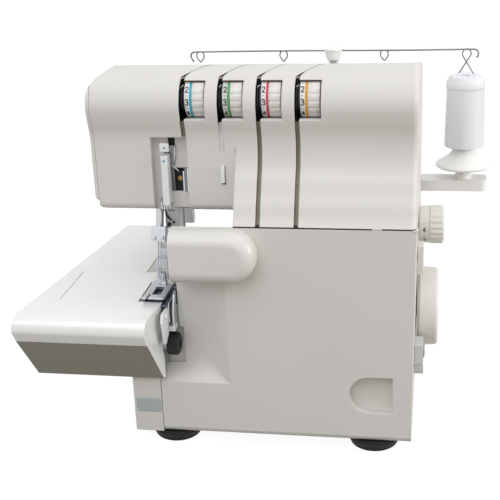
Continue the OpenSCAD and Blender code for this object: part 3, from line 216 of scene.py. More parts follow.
# plastic: light, dark, roughness, grain in mm, bump, coat, shine
# metal: light, dark, roughness, streak in mm, stretch along x, y and z, bump
alongX, alongZ, noGrain = (0.15, 1.0, 1.0), (1.0, 1.0, 0.1), (1.0, 1.0, 1.0)
materials = {
    # textured ABS of the casing: warm white with a broad dull shine
    "casing": mouldedPlastic("satinAbs", "#DAD7D2", "#D5D2CD", 0.46, 0.45, 0.08, 0.0, 0.35),
    # the casing ABS made whiter for the stand and holders at the back, as painted light where less
    # lamp light reaches; a touch smoother
    "stand": mouldedPlastic("satinAbsPaintedLight", "#F7F6F3", "#F3F2EF", 0.42, 0.45, 0.08, 0.0, 0.35),
    # finer mould face of the looper guard: soft long highlights
    "guard": mouldedPlastic("glossAbs", "#DEDBD6", "#D9D6D1", 0.32, 0.5, 0.05, 0.05, 0.4),
    # polished ABS of the cloth plate: clear reflections of the lamps
    "plate": mouldedPlastic("polishedAbs", "#EBEAE8", "#E8E7E4", 0.20, 0.6, 0.03, 0.8),
    # painted shade for the underside of the plate: flat grey-olive, matt
    "plateUnderShade": mouldedPlastic("paintedShadeAbs", "#A3A195", "#9A988C", 0.65, 0.5, 0.15, 0.0, 0.2),
    # painted shade for the floor and walls of the thread-slot grooves: dull and brownish
    "groove": mouldedPlastic("grooveLining", "#AEA598", "#A59C8F", 0.6, 0.5, 0.08, 0.0, 0.2),
    # polypropylene tray: waxy and darker than the casing
    "base": mouldedPlastic("trayPolypropylene", "#C9C6C0", "#C0BDB7", 0.5, 0.6, 0.2),
    "rubber": mouldedRubber(),
    # plated rods and hooks: bright, with faint drawing lines
    "steel": workedMetal("platedSteel", "#D6D8DA", "#BFC2C5", 0.16, 0.5, alongZ),
    # hardened plates and spring wire: mid grey with faint lines
    "darkSteel": workedMetal("hardenedSteel", "#8E9194", "#6F7276", 0.30, 0.4, alongX),
    # satin nickel plate: soft bright grey without clear reflections
    "nickel": workedMetal("satinNickel", "#D3D6D9", "#BDC1C5", 0.34, 0.5, (0.2, 1.0, 1.0), 0.1),
    # blued stitch plate: slate grey with a cold tinge
    "blued": workedMetal("bluedSteel", "#6D7480", "#5A616C", 0.36, 0.5, alongX),
    # sand-cast aluminium: dull with a coarse skin
    "alloy": workedMetal("castAluminium", "#B4B6B8", "#96999C", 0.48, 1.1, noGrain, 0.6),
    # sintered bronze bushes: warm and slightly open
    "bronze": workedMetal("sinteredBronze", "#B08D57", "#8F6E3F", 0.42, 0.5, noGrain),
    # black nylon of the knob: deep and matt
    "black": mouldedPlastic("blackNylon", "#161717", "#101111", 0.5, 0.5, 0.25, 0.0, 0.25),
    # painted shade in the open seams and gaps: dark brown, no shine
    "paintedShade": mouldedPlastic("paintedSeamShade", "#4A382F", "#3E2F28", 0.8, 1.0, 0.05, 0.0, 0.2),
    # glass-filled nylon: charcoal with a dry grain
    "pulley": mouldedPlastic("glassFilledNylon", "#34363A", "#2A2C2F", 0.5, 0.5, 0.3),
    # enamelled steel can of the motor: dark with a coarse orange-peel
    "motor": mouldedPlastic("enamelledSteel", "#3A3D40", "#2B2D30", 0.4, 1.2, 0.15),
    # grey ABS of the small levers
    "grey": mouldedPlastic("greyAbs", "#A9ACAD", "#9DA0A1", 0.4, 0.5, 0.12),
    "paleGrey": mouldedPlastic("paleGreyAbs", "#D6D6D4", "#CECECC", 0.4, 0.5, 0.12),
    # acetal wheels: creamy white, smooth and slightly slick
    "dial": mouldedPlastic("creamAcetal", "#E8E5DF", "#E2DFD9", 0.36, 0.5, 0.06, 0.0, 0.4),
    # stove-enamelled sheet steel: cool white and even
    "paintedSteel": mouldedPlastic("paintedSteel", "#E9EBEC", "#E1E3E4", 0.30, 0.6, 0.04),
    # white acetal band under the numbers
    "numberBand": mouldedPlastic("whiteAcetal", "#F1F0EE", "#ECEBE8", 0.30, 0.5, 0.05),
    # pad-printed ink: flat colour with a thin even gloss
    "stripeBlue": mouldedPlastic("bluePadPrint", "#35A9C4", "#2E9DB9", 0.35, 0.6, 0.03),
    "stripeGreen": mouldedPlastic("greenPadPrint", "#4FA05A", "#46934F", 0.35, 0.6, 0.03),
    "stripeRed": mouldedPlastic("redPadPrint", "#D8405A", "#C93650", 0.35, 0.6, 0.03),
    "stripeAmber": mouldedPlastic("amberPadPrint", "#E5A02C", "#D99322", 0.35, 0.6, 0.03),
    "print": mouldedPlastic("blackPadPrint", "#232426", "#1D1E20", 0.45, 0.6, 0.03),
    # painted shade of the narrow slits over the top: mid grey, no shine
    "shadowGap": mouldedPlastic("unlitGap", "#8E8B87", "#84817D", 0.8, 1.0, 0.05),
    # satin film of the bare label: pale blue-grey
    "label": mouldedPlastic("satinLabelFilm", "#AFB7B8", "#A5AEB0", 0.45, 0.4, 0.05),
    "thread": woundThread(),
}
slotOf = {s["node"]: s["material_slot"] for s in frame["record"]["subparts"]}
lookOf = {"dark_steel": "darkSteel", "belt": "rubber"}
# nodes whose finish differs from the rest of their slot
ownLooks = {"plate": ["cloth_plate", "free_arm_cover"], "blued": ["needle_plate"],
            "paintedSteel": ["take_up_cover", "thread_guides", "knife_bracket", "knife_arm",
                             "presser_lifter"],
            "nickel": ["presser_foot", "presser_ankle", "needle_clamp", "upper_knife",
                       "lower_knife"],
            "stand": ["spool_stand", "spool_holders", "guide_holder"],
            # the steel tension discs take the dark nylon as painted shade of the deep slots they
            # sit in
            "pulley": ["tension_sets"], "dial": ["drive_pulley"], "paleGrey": ["switch_housing"]}
ownLook = {name: look for look, names in ownLooks.items() for name in names}
for name, node in nodes.items():
    look = ownLook.get(name, lookOf.get(slotOf[name], slotOf[name]))
    node.data.materials.clear()
    node.data.materials.append(materials[look])
print("materials made")

# edge widths in millimetres; edges sharper than these angles in degrees are rounded
rounding = {"copyWidth": 0.4, "segments": 2, "copySharp": 30, "newSharp": 35}
cleaning = {"weld": 0.00001, "flat": 0.6, "sliver": 0.00002}  # metres, degrees, metres


def joinFrame(piece, body, slotName, *replaced):
    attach(piece, body)
    if replaced:
        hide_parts(*replaced)
    return piece


def placed(name, data):
    item = bpy.data.objects.new(name, data)
    bpy.context.scene.collection.objects.link(item)
    return item


def softened(piece, width, sharp):
    # shades the piece smooth; a width rounds every edge sharper than sharp degrees
    for face in piece.data.polygons:
        face.use_smooth = True
    if not width:
        return
    bevel = piece.modifiers.new("edge", "BEVEL")
    bevel.width = width / 1000
    bevel.segments = rounding["segments"]
    bevel.limit_method = "ANGLE"
    bevel.angle_limit = math.radians(sharp)
    bevel.use_clamp_overlap = False
    even = piece.modifiers.new("evenShade", "WEIGHTED_NORMAL")
    even.weight = 100


def refined(name, underShadeLook=None, underTurn=-0.55):
    # a copy of a CAD node with welded faces and rounded edges, in the same place;
    # underShadeLook, a darker material as painted shade, goes on the faces whose normal points down
    # past underTurn
    mesh = nodes[name].data.copy()
    piece = placed(name + "_shape", mesh)
    work = bmesh.new()
    work.from_mesh(mesh)
    bmesh.ops.remove_doubles(work, verts=work.verts, dist=cleaning["weld"])
    bmesh.ops.dissolve_limit(work, angle_limit=math.radians(cleaning["flat"]), verts=work.verts,
                             edges=work.edges)
    bmesh.ops.dissolve_degenerate(work, dist=cleaning["sliver"], edges=work.edges)
    work.to_mesh(mesh)
    work.free()
    if underShadeLook:
        mesh.materials.append(materials[underShadeLook])
        for face in mesh.polygons:
            face.material_index = 1 if face.normal.z < underTurn else 0
    softened(piece, rounding["copyWidth"], rounding["copySharp"])
    return joinFrame(piece, bodyOf[name], slotOf[name], name)


def smoothLine(points, steps):
    # a curve through the points, with steps between neighbours
    line = []
    last = len(points) - 1
    for i in range(last):
        a, b, c, d = (Vector(points[max(0, min(last, k))]) for k in (i - 1, i, i + 1, i + 2))
        for k in range(steps):
            t = k / steps
            line.append(0.5 * (2 * b + (c - a) * t + (2 * a - 5 * b + 4 * c - d) * t * t
                               + (3 * b - a - 3 * c + d) * t ** 3))
    return line + [Vector(points[-1])]


def newShape():
    return {"points": [], "faces": [], "looks": []}


def addPoints(shape, points):
    start = len(shape["points"])
    shape["points"] += [Vector(p) for p in points]
    return list(range(start, start + len(points)))


def addFace(shape, corners, look=0):
    shape["faces"].append(corners)
    shape["looks"].append(look)


def addRows(shape, rows, look=0, ring=True, caps=True):
    # a skin over rows of points, closed round each row and at both ends where asked
    ids = [addPoints(shape, row) for row in rows]
    across = len(rows[0])
    for low, high in zip(ids, ids[1:]):
        for i in range(across if ring else across - 1):
            j = (i + 1) % across
            addFace(shape, [low[i], low[j], high[j], high[i]], look)
    if caps:
        addFace(shape, ids[0][::-1], look)
        addFace(shape, ids[-1], look)


def addBlock(shape, low, high, look=0, lean=0):
    # a six-sided block; lean moves its top along x
    rows = []
    for z, shift in ((low[2], 0), (high[2], lean)):
        left, right = low[0] + shift, high[0] + shift
        rows.append([(left, low[1], z), (right, low[1], z), (right, high[1], z),
                     (left, high[1], z)])
    addRows(shape, rows, look)


def addTurned(shape, centre, axis, outline, look=0, steps=40, ripple=None):
    # turns (radius, along) pairs round an axis, "x" or "y"; ripple(angle, radius) scales the radius
    rows = []
    for radius, along in outline:
        row = []
        for k in range(steps):
            angle = 2 * math.pi * k / steps
            r = max(radius, 0.001) * (ripple(angle, radius) if ripple else 1)
            u, v = r * math.cos(angle), r * math.sin(angle)
            offset = (along, u, v) if axis == "x" else (v, along, u)
            row.append(Vector(centre) + Vector(offset))
        rows.append(row)
    addRows(shape, rows, look)


def addTube(shape, path, radius, look=0, steps=10):
    # a round wire along a path of points
    points = [Vector(p) for p in path]
    rows = []
    side = None
    for i, p in enumerate(points):
        ahead, behind = points[min(i + 1, len(points) - 1)], points[max(i - 1, 0)]
        along = (ahead - behind).normalized()
        if side is None:
            side = along.orthogonal().normalized()
        side = (side - along * side.dot(along)).normalized()
        other = along.cross(side)
        turns = [2 * math.pi * k / steps for k in range(steps)]
        rows.append([p + radius * (side * math.cos(a) + other * math.sin(a)) for a in turns])
    addRows(shape, rows, look)


def buildPiece(name, shape, like, looks, replaced=(), wall=0, edge=0, outward=None):
    # like is the CAD node whose body the piece takes
    mesh = bpy.data.meshes.new(name)
    mesh.from_pydata([at(*p) for p in shape["points"]], [], shape["faces"])
    for look in looks:
        mesh.materials.append(materials[look])
    mesh.polygons.foreach_set("material_index", shape["looks"])
    work = bmesh.new()
    work.from_mesh(mesh)
    bmesh.ops.remove_doubles(work, verts=work.verts, dist=cleaning["weld"])
    bmesh.ops.recalc_face_normals(work, faces=work.faces)
    if outward is not None:
        facing = sum(face.normal.dot(Vector(outward)) * face.calc_area() for face in work.faces)
        if facing < 0:
            bmesh.ops.reverse_faces(work, faces=work.faces)
    work.to_mesh(mesh)
    work.free()
    piece = placed(name, mesh)
    if wall:
        thick = piece.modifiers.new("wall", "SOLIDIFY")
        thick.thickness = wall / 1000
        thick.offset = -1
    softened(piece, edge, rounding["newSharp"])
    return joinFrame(piece, bodyOf[like], slotOf[like], *replaced)


quarterTurn = [math.radians(18 * k) for k in range(6)]

# Front shell of the arm and tower: one thin moulding with thread slots, dial windows and the
# needle recess. Holes are (left, right, low, high), or (left, right, front, back) underneath
front = {"armFace": 24.8, "underRadius": 6.5, "lip": 3.6, "lipBack": 35, "cornerRadius": 4.5,
         "cornerRun": (45, 60), "cornerEnd": 0.2, "topRadius": 18, "topBend": -230,
         "lowRadius": 9, "lowBend": -239, "slots": (-175.6, -146.6, -117.6, -88.6),
         "slotWidth": 3.3, "window": (3.3, 19.6), "windowLow": 265.5, "windowHigh": 293.5,
         "slotLow": 262.6, "slotBack": 34, "groove": 5, "grooveFade": 231.6, "fadeDepth": 1.1,
         "recess": (-200.5, -172.3), "recessTop": 251, "recessFloor": 33,
         "slotHole": (-188.7, -183.4, 241, 249.8), "plateHole": (-192.2, -173.5, 206, 225),
         "barHole": (-208, -180, 35.4, 62), "armJoin": (244.9, 245.1), "joinBack": 30,
         "crownFront": 50, "crown": 60, "steps": 6, "seamOpen": 1, "near": 0.1,
         "armSteps": (-245.1, -243.4, -241.5, -239, -236, -233, -230, -190),
         "towerSteps": (-40, -20), "edge": 0.45}
lowerFront = [(0, 0.4), (4, 7), (7.4, 15.5), (12, 23.5), (16, 31.6), (21, 39.5), (23.8, 48)]
upperFront = [(24.8, -54.6), (23.9, -45.6), (20.9, -35.6), (19.1, -26.1), (20.7, -17.6), (26, -9),
              (38, -2.3), (50, -0.3), (60, 0), (80, -3.4), (casing["split"], -7.6)]


def withLevels(line, levels, axis, upTo):
    # the line with a point added wherever it rises through one of the levels
    done = [line[0]]
    for p, q in zip(line, line[1:]):
        for level in sorted(levels):
            if p[axis] < level - 0.02 and q[axis] > level + 0.02 and q[0] < upTo:
                share = (level - p[axis]) / (q[axis] - p[axis])
                done.append(p.lerp(q, share))
        done.append(q)
    return done


def addSheet(shape, grid, kindOf, floors):
    # a skin over a grid of points: kindOf names each cell "skin", "hole" or a floor, and
    # floors[name] gives where a pressed-in point lies; a wall joins cells of different depth
    made = {}

    def corner(i, j, kind):
        key = (i, j, kind)
        if key not in made:
            spot = grid[i][j] if kind == "skin" else floors[kind](grid[i][j])
            made[key] = addPoints(shape, [spot])[0]
        return made[key]

    across, along = len(grid) - 1, len(grid[0]) - 1
    kinds = [[kindOf((grid[i][j] + grid[i + 1][j] + grid[i][j + 1] + grid[i + 1][j + 1]) / 4)
              for j in range(along)] for i in range(across)]
    for i in range(across):
        for j in range(along):
            kind = kinds[i][j]
            if kind == "hole":
                continue
            # groove cells and the walls beside them take look 1, the painted groove shade
            addFace(shape, [corner(i, j, kind), corner(i + 1, j, kind),
                            corner(i + 1, j + 1, kind), corner(i, j + 1, kind)],
                    1 if kind == "groove" else 0)
            for di, dj, a, b in ((1, 0, (1, 0), (1, 1)), (0, 1, (0, 1), (1, 1))):
                if i + di >= across or j + dj >= along:
                    continue
                beside = kinds[i + di][j + dj]
                if beside in (kind, "hole"):
                    continue
                start, end = (i + a[0], j + a[1]), (i + b[0], j + b[1])
                addFace(shape, [corner(*start, kind), corner(*end, kind),
                                corner(*end, beside), corner(*start, beside)],
                        1 if "groove" in (kind, beside) else 0)


def frontShell():
    f = front
    top, seam, split = casing["top"], casing["seam"], casing["split"]
    slotEdges = [x + d for x in f["slots"] for d in (0, f["slotWidth"], f["window"][1])]
    faceLevels = (*f["plateHole"][2:], f["grooveFade"], f["slotHole"][2])
    levels = (*faceLevels, f["slotHole"][3], f["recessTop"], f["slotLow"], f["windowLow"],
              f["windowHigh"])
    profile = [(y, z + seam) for y, z in lowerFront] + [(y, z + top) for y, z in upperFront]
    towerLine = smoothLine(profile, f["steps"])
    towerLine[0].y = seam + f["seamOpen"]
    towerLine = withLevels(towerLine, levels, 1, f["crown"])
    towerLine = withLevels(towerLine, (f["slotBack"],), 0, f["crownFront"])
    under, r = casing["armUnder"], f["underRadius"]
    lip = under - f["lip"]
    armLow = [Vector((y, under)) for y in (split, f["barHole"][3], f["barHole"][2])]
    armLow += [Vector((f["recessFloor"], lip))]
    armLow += [Vector((f["armFace"] + r - r * math.sin(a), lip + r - r * math.cos(a)))
               for a in quarterTurn]
    armLow += [Vector((f["armFace"], z)) for z in faceLevels]
    armLine = armLow + [p for p in towerLine if p.y >= f["armJoin"][0] or p.x > f["crown"]]

    def clipped(x, p):
        # the arm's left end is rounded over its top and its lower corner
        high = top
        if x < f["topBend"]:
            arc = max(0, f["topRadius"] ** 2 - (f["topBend"] - x) ** 2)
            high = top - f["topRadius"] + math.sqrt(arc)
        low = under if p.x > f["lipBack"] else lip
        if x < f["lowBend"]:
            arc = max(0, f["lowRadius"] ** 2 - (f["lowBend"] - x) ** 2)
            low += f["lowRadius"] - math.sqrt(arc)
        return Vector((x, p.x, min(max(p.y, low), high)))

    def inside(x, z, hole):
        return hole[0] < x < hole[1] and hole[2] < z < hole[3]

    def kindOf(c):
        for i, left in enumerate(f["slots"]):
            inSlot = left < c.x < left + f["slotWidth"]
            window = (left, left + f["window"][1], f["windowLow"], f["windowHigh"])
            if c.y < f["slotBack"] and (inSlot and c.z > f["slotLow"] or inside(c.x, c.z, window)):
                return "hole"
            if inSlot and c.y < f["crown"] and c.z < f["slotLow"]:
                if i > 1 or (i == 0 and c.z > f["recessTop"]):
                    return "groove"
                if i == 1 and c.z > f["grooveFade"]:
                    return "fading"
        recess = (*f["recess"], 0, f["recessTop"])
        if inside(c.x, c.z, recess) and c.y < f["recessFloor"]:
            if c.z < lip + f["near"]:
                return "hole"
            holes = (f["slotHole"], f["plateHole"])
            return "hole" if any(inside(c.x, c.z, hole) for hole in holes) else "recess"
        if inside(c.x, c.y, f["barHole"]) and c.z < under + f["near"]:
            return "hole"
        return "skin"

    def fading(p):
        share = (p.z - f["grooveFade"]) / (f["slotLow"] - f["grooveFade"])
        return Vector((p.x, max(p.y, f["armFace"] + f["fadeDepth"] * share), p.z))

    floors = {"groove": lambda p: p + Vector((0, f["groove"], 0)), "fading": fading,
              "recess": lambda p: Vector((p.x, f["recessFloor"], p.z))}
    shape = newShape()
    left = casing["towerLeft"]
    holeEdges = [x for name in ("slotHole", "plateHole", "barHole") for x in f[name][:2]]
    armX = {left, f["recess"][0], *f["armSteps"], *holeEdges, *[x for x in slotEdges if x < left]}
    addSheet(shape, [[clipped(x, p) for p in armLine] for x in sorted(armX)], kindOf, floors)
    towerX = sorted({left, *f["towerSteps"], *[x for x in slotEdges if x > left]})
    grid = [[Vector((x, p.x, p.y)) for p in towerLine] for x in towerX]
    for turn in quarterTurn:
        # the right edge is rounded at the front and runs out to a small edge at the back
        row = []
        for i, p in enumerate(towerLine):
            ahead = towerLine[min(i + 1, len(towerLine) - 1)] - towerLine[max(i - 1, 0)]
            inward = Vector((ahead.y, -ahead.x)).normalized()
            if i == 0:
                inward = Vector((1, 0))
            if i == len(towerLine) - 1:
                inward = Vector((0, -1))
            start, run = f["cornerRun"]
            fade = 1 if p.x < start else max(f["cornerEnd"], 1 - (p.x - start) / run)
            radius = f["cornerRadius"] * fade
            inset = p + inward * radius * (1 - math.cos(turn))
            x = casing["draft"] - radius + radius * math.sin(turn)
            row.append(Vector((x, inset.x, inset.y)))
        grid.append(row)
    addSheet(shape, grid, kindOf, floors)
    foot = seam + f["seamOpen"]
    addFace(shape, addPoints(shape, grid[-1] + [Vector((casing["draft"], split, foot))]))
    side = [Vector((left, p.x, p.y)) for p in towerLine
            if p.y <= f["armJoin"][1] and p.x < f["joinBack"]]
    side += [Vector((left, p.x, p.y)) for p in armLow[::-1]] + [Vector((left, split, foot))]
    addFace(shape, addPoints(shape, side))
    # the slot grooves take the painted groove shade as their second look
    buildPiece("frontShell", shape, "front_cover", ["casing", "groove"], ["front_cover"],
               wall=casing["wall"], edge=f["edge"], outward=(0, -1, 0.2))


frontShell()


# Numbered thumb wheels of the thread tension
dial = {"axisY": 38, "axisZ": 279, "radius": 15.6, "bore": 3, "left": 3.9, "band": 3.9,
        "bandDrop": 0.3, "stripe": 1.6, "stripeDrop": 0.1, "width": 14.7, "flutes": 18,
        "fluteDepth": 0.035, "pitch": 36, "shown": 3, "shift": 0.6, "digitHeight": 4.3,
        "digitWidth": 2.2, "stroke": 0.9, "tick": 0.5, "tickStroke": 0.35,
        "stripes": ("stripeBlue", "stripeGreen", "stripeRed", "stripeAmber")}
digitStrokes = {
    "0": [[(0.5, 0), (0.1, 0.2), (0.05, 0.8), (0.5, 1), (0.95, 0.8), (0.9, 0.2), (0.5, 0)]],
    "1": [[(0.2, 0.78), (0.6, 1), (0.6, 0)]],
    "2": [[(0.05, 0.75), (0.2, 0.94), (0.5, 1), (0.82, 0.93), (0.95, 0.72), (0.78, 0.48),
           (0.05, 0), (1, 0)]],
    "3": [[(0.05, 0.86), (0.3, 1), (0.7, 1), (0.93, 0.8), (0.82, 0.6), (0.45, 0.53)],
          [(0.45, 0.53), (0.88, 0.45), (1, 0.22), (0.75, 0), (0.3, 0), (0.03, 0.15)]],
    "4": [[(0.75, 0), (0.75, 1), (0, 0.3), (1, 0.3)]],
    "5": [[(0.9, 1), (0.15, 1), (0.1, 0.55), (0.5, 0.63), (0.9, 0.5), (0.97, 0.25), (0.75, 0),
           (0.3, 0), (0.03, 0.15)]],
    "6": [[(0.9, 0.92), (0.5, 1), (0.12, 0.75), (0.05, 0.3), (0.25, 0), (0.75, 0), (0.97, 0.28),
           (0.75, 0.55), (0.3, 0.55), (0.07, 0.35)]],
    "7": [[(0.03, 1), (0.97, 1), (0.4, 0)]],
    "8": [[(0.5, 0.54), (0.15, 0.66), (0.12, 0.88), (0.5, 1), (0.88, 0.88), (0.85, 0.66),
           (0.5, 0.54), (0.08, 0.38), (0.08, 0.12), (0.5, 0), (0.92, 0.12), (0.92, 0.38),
           (0.5, 0.54)]],
    "9": [[(0.1, 0.08), (0.5, 0), (0.88, 0.25), (0.95, 0.7), (0.75, 1), (0.25, 1), (0.03, 0.72),
           (0.25, 0.45), (0.7, 0.45), (0.93, 0.65)]]}
ink = {"step": 0.8, "overrun": 0.35, "proud": 0.06}


def addStroke(shape, path, width, wrap):
    # a flat ribbon along a path drawn in millimetres, laid on the surface that wrap gives
    fine = []
    for a, b in zip(path, path[1:]):
        a, b = Vector(a), Vector(b)
        parts = max(1, int((b - a).length / ink["step"]))
        fine += [a.lerp(b, k / parts) for k in range(parts)]
    fine.append(Vector(path[-1]))
    rows = []
    last = len(fine) - 1
    for i, p in enumerate(fine):
        ahead = (fine[min(i + 1, last)] - fine[max(i - 1, 0)]).normalized()
        aside = Vector((-ahead.y, ahead.x)) * width / 2
        stretch = ahead * width * ink["overrun"] * (-1 if i == 0 else 1 if i == last else 0)
        rows.append([wrap(p + aside + stretch), wrap(p - aside + stretch)])
    addRows(shape, rows, ring=False, caps=False)


def addDigit(shape, digit, up, style, wrap):
    width, height = style["digitWidth"], style["digitHeight"]
    for path in digitStrokes[digit]:
        spots = [((u - 0.5) * width, up + (v - 0.5) * height) for u, v in path]
        addStroke(shape, spots, style["stroke"], wrap)


def addTick(shape, up, style, wrap):
    half = style["tick"]
    addStroke(shape, [(-half, up), (half, up)], style["tickStroke"], wrap)


def onDrum(middle, y, z, radius):
    # wraps (across, up) onto a drum that turns about x, seen from the front
    def wrap(p):
        angle = p.y / radius
        out = radius + ink["proud"]
        return Vector((middle + p.x, y - out * math.cos(angle), z + out * math.sin(angle)))
    return wrap


def tensionDial(number):
    d = dial
    left = front["slots"][number - 1] + d["left"]
    shape = newShape()
    centre = (left, d["axisY"], d["axisZ"])
    r, bore, band, stripe, width = (d[k] for k in ("radius", "bore", "band", "stripe", "width"))
    drum, rim, end = r - d["bandDrop"], r - d["stripeDrop"], band + stripe
    addTurned(shape, centre, "x", [(bore, 0), (r - 1.2, 0), (drum, 0.5), (drum, band)], 1, 72)
    printed = [(drum, band), (rim, band + 0.1), (rim, end), (r - 0.5, end + 0.3)]
    addTurned(shape, centre, "x", printed, 2, 72)

    def ripple(angle, radius):
        flute = d["fluteDepth"] * max(0, math.cos(d["flutes"] * angle))
        return 1 - (flute if radius > r - 0.4 else 0)

    grip = [(r - 1, end), (r, end + 0.5), (r, width - 0.6), (r - 0.6, width), (bore, width)]
    addTurned(shape, centre, "x", grip, 0, 216, ripple)
    name = "tension_dial_%d" % number
    buildPiece("thumbWheel%d" % number, shape, name,
               ["dial", "numberBand", d["stripes"][number - 1]], [name])
    marks = newShape()
    wrap = onDrum(left + band / 2 + 0.1, d["axisY"], d["axisZ"], drum)
    pitch = math.radians(d["pitch"]) * drum
    for k in range(10):
        up = (d["shown"] - k) * pitch - d["shift"]
        addDigit(marks, str(k), up, d, wrap)
        addTick(marks, up - pitch / 2, d, wrap)
    buildPiece("dialNumbers%d" % number, marks, name, ["print"])


for number in range(1, 5):
    tensionDial(number)
print("dials made")


# Sills, dark strips of painted shade in the upper gaps, and wire tips in the dial windows and
# slots;
# tipPath runs from each slot's left edge
windowTrim = {"inset": 0.1, "sillFront": 22.8, "sillBack": 29.2, "sillLow": 263.8,
              "sillTop": 265.3, "gapLow": 292.3, "gapTop": 293.5, "gapFront": 28.5,
              "gapBack": 29.3, "tip": 0.35, "tipSides": 8, "edge": 0.15,
              "tipPath": ((0.4, 29, 287.6), (1.2, 26.8, 288.8), (2.4, 26.6, 289.8),
                          (3, 28.6, 290.6))}


def dialWindows():
    w = windowTrim
    shape = newShape()
    for left in front["slots"]:
        low, high = left + front["window"][0] + w["inset"], left + front["window"][1] - w["inset"]
        addBlock(shape, (low, w["sillFront"], w["sillLow"]), (high, w["sillBack"], w["sillTop"]))
        # a dark strip as painted shade in the gap over the dial
        addBlock(shape, (low, w["gapFront"], w["gapLow"]), (high, w["gapBack"], w["gapTop"]), 1)
        addTube(shape, [(left + x, y, z) for x, y, z in w["tipPath"]], w["tip"], 2, w["tipSides"])
    buildPiece("dialWindows", shape, "front_cover", ["casing", "paintedShade", "steel"],
               edge=w["edge"])


dialWindows()


# Dark strip of painted shade in the seam between the tower and the looper cover, which is open but
# for one moulded lug
seamLine = {"left": -134.4, "right": 0.9, "lug": (-30.6, -23.3), "front": 0.02, "back": 2.9,
            "low": 187.95, "high": 188.95}


def seamShadow():
    s = seamLine
    shape = newShape()
    lugLeft, lugRight = s["lug"]
    for a, b, look in ((s["left"], lugLeft, 0), (lugLeft, lugRight, 1), (lugRight, s["right"], 0)):
        addBlock(shape, (a, s["front"], s["low"]), (b, s["back"], s["high"]), look)
    buildPiece("seamShadow", shape, "front_cover", ["paintedShade", "casing"])


seamShadow()


# The foot of the chute runs into its back wall in one soft curve; behind the knob it meets the
# fixed wall, which has a foot of its own
chute = {"right": -142, "left": -199, "depth": 15, "deepening": 1.35, "front": 0.5,
         "lowZ": 57, "rampRise": 0.584, "rampStart": 0.6, "reach": 17, "leastReach": 0.2,
         "notchX": -181.4, "notchReach": 1.2, "notchRun": 18, "stations": 30, "steps": 10,
         "proud": 0.12}
fixedWall = {"y": 17.9, "thick": 1.8, "low": 61, "high": 67.6, "pastLeft": 2, "pastRight": 0.8}


def chuteFoot():
    c = chute
    shape = newShape()
    rows = []
    for i in range(c["stations"] + 1):
        a = i / c["stations"]
        x = c["right"] + (c["left"] - c["right"]) * a
        depth = c["depth"] * math.sin(math.pi / 2 * min(1, c["deepening"] * a))
        beside = min(1, max(0, (x - c["notchX"]) / c["notchRun"]))
        full = c["reach"] * depth / c["depth"]
        reach = c["notchReach"] + (full - c["notchReach"]) * beside ** 2 * (3 - 2 * beside)
        reach = max(c["leastReach"], min(reach, full))
        start = Vector((c["front"], c["lowZ"] + c["proud"]))
        ramp = c["rampRise"] * max(0, depth - c["rampStart"])
        corner = Vector((max(c["front"], depth - c["proud"]), c["lowZ"] + ramp + c["proud"]))
        end = corner + Vector((0, reach))
        row = []
        for k in range(c["steps"] + 1):
            t = k / c["steps"]
            p = (1 - t) ** 2 * start + 2 * t * (1 - t) * corner + t * t * end
            row.append((x, p.x, p.y))
        rows.append(row)
    addRows(shape, rows, ring=False, caps=False)
    buildPiece("chuteFoot", shape, "looper_cover", ["casing"], outward=(0, -1, 1))


def wallFoot():
    w = fixedWall
    shape = newShape()
    addBlock(shape, (chute["left"] - w["pastLeft"], w["y"], w["low"]),
             (chute["notchX"] + w["pastRight"], w["y"] + w["thick"], w["high"]))
    buildPiece("wallFoot", shape, "machine_frame", ["casing"])


chuteFoot()
wallFoot()


# Thin slits that run back from the thread slots over the top, drawn as painted shade; each slot
# first draws in to a point, in black as painted shade deep in the slot, which runs on as the slit
slit = {"width": 0.9, "turn": 30, "length": 50, "steps": 25, "proud": 0.06, "taper": 7,
        "flare": 2.3, "flareCurve": 1.3, "shadeRows": 3, "inset": 0.05, "lap": 0.4, "topSteps": 8,
        "topDrop": 30}


def threadSlits():
    s, shape = slit, newShape()
    top = casing["top"]
    topLine = smoothLine([(y, z + top) for y, z in upperFront], s["topSteps"])

    def height(y):
        for p, q in zip(topLine, topLine[1:]):
            if p.x <= y <= q.x and p.y > top - s["topDrop"]:
                return p.y + (q.y - p.y) * (y - p.x) / (q.x - p.x)
        return top

    turn = math.radians(s["turn"])
    for left in front["slots"]:
        rows = []
        for k in range(s["steps"] + 1):
            along = s["length"] * k / s["steps"]
            flare = max(0, 1 - along / s["taper"]) ** s["flareCurve"]
            wide = s["width"] + s["flare"] * flare
            x = left + front["slotWidth"] - s["inset"] + along * math.sin(turn)
            y = front["slotBack"] - s["lap"] + along * math.cos(turn)
            z = height(y) + s["proud"]
            rows.append([(x - wide, y, z), (x, y, z)])
        # the first rows take black as painted shade deep in the slot
        addRows(shape, rows[:s["shadeRows"] + 1], 1, ring=False, caps=False)
        addRows(shape, rows[s["shadeRows"]:], 0, ring=False, caps=False)
    buildPiece("threadSlits", shape, "front_cover", ["shadowGap", "black"])


threadSlits()


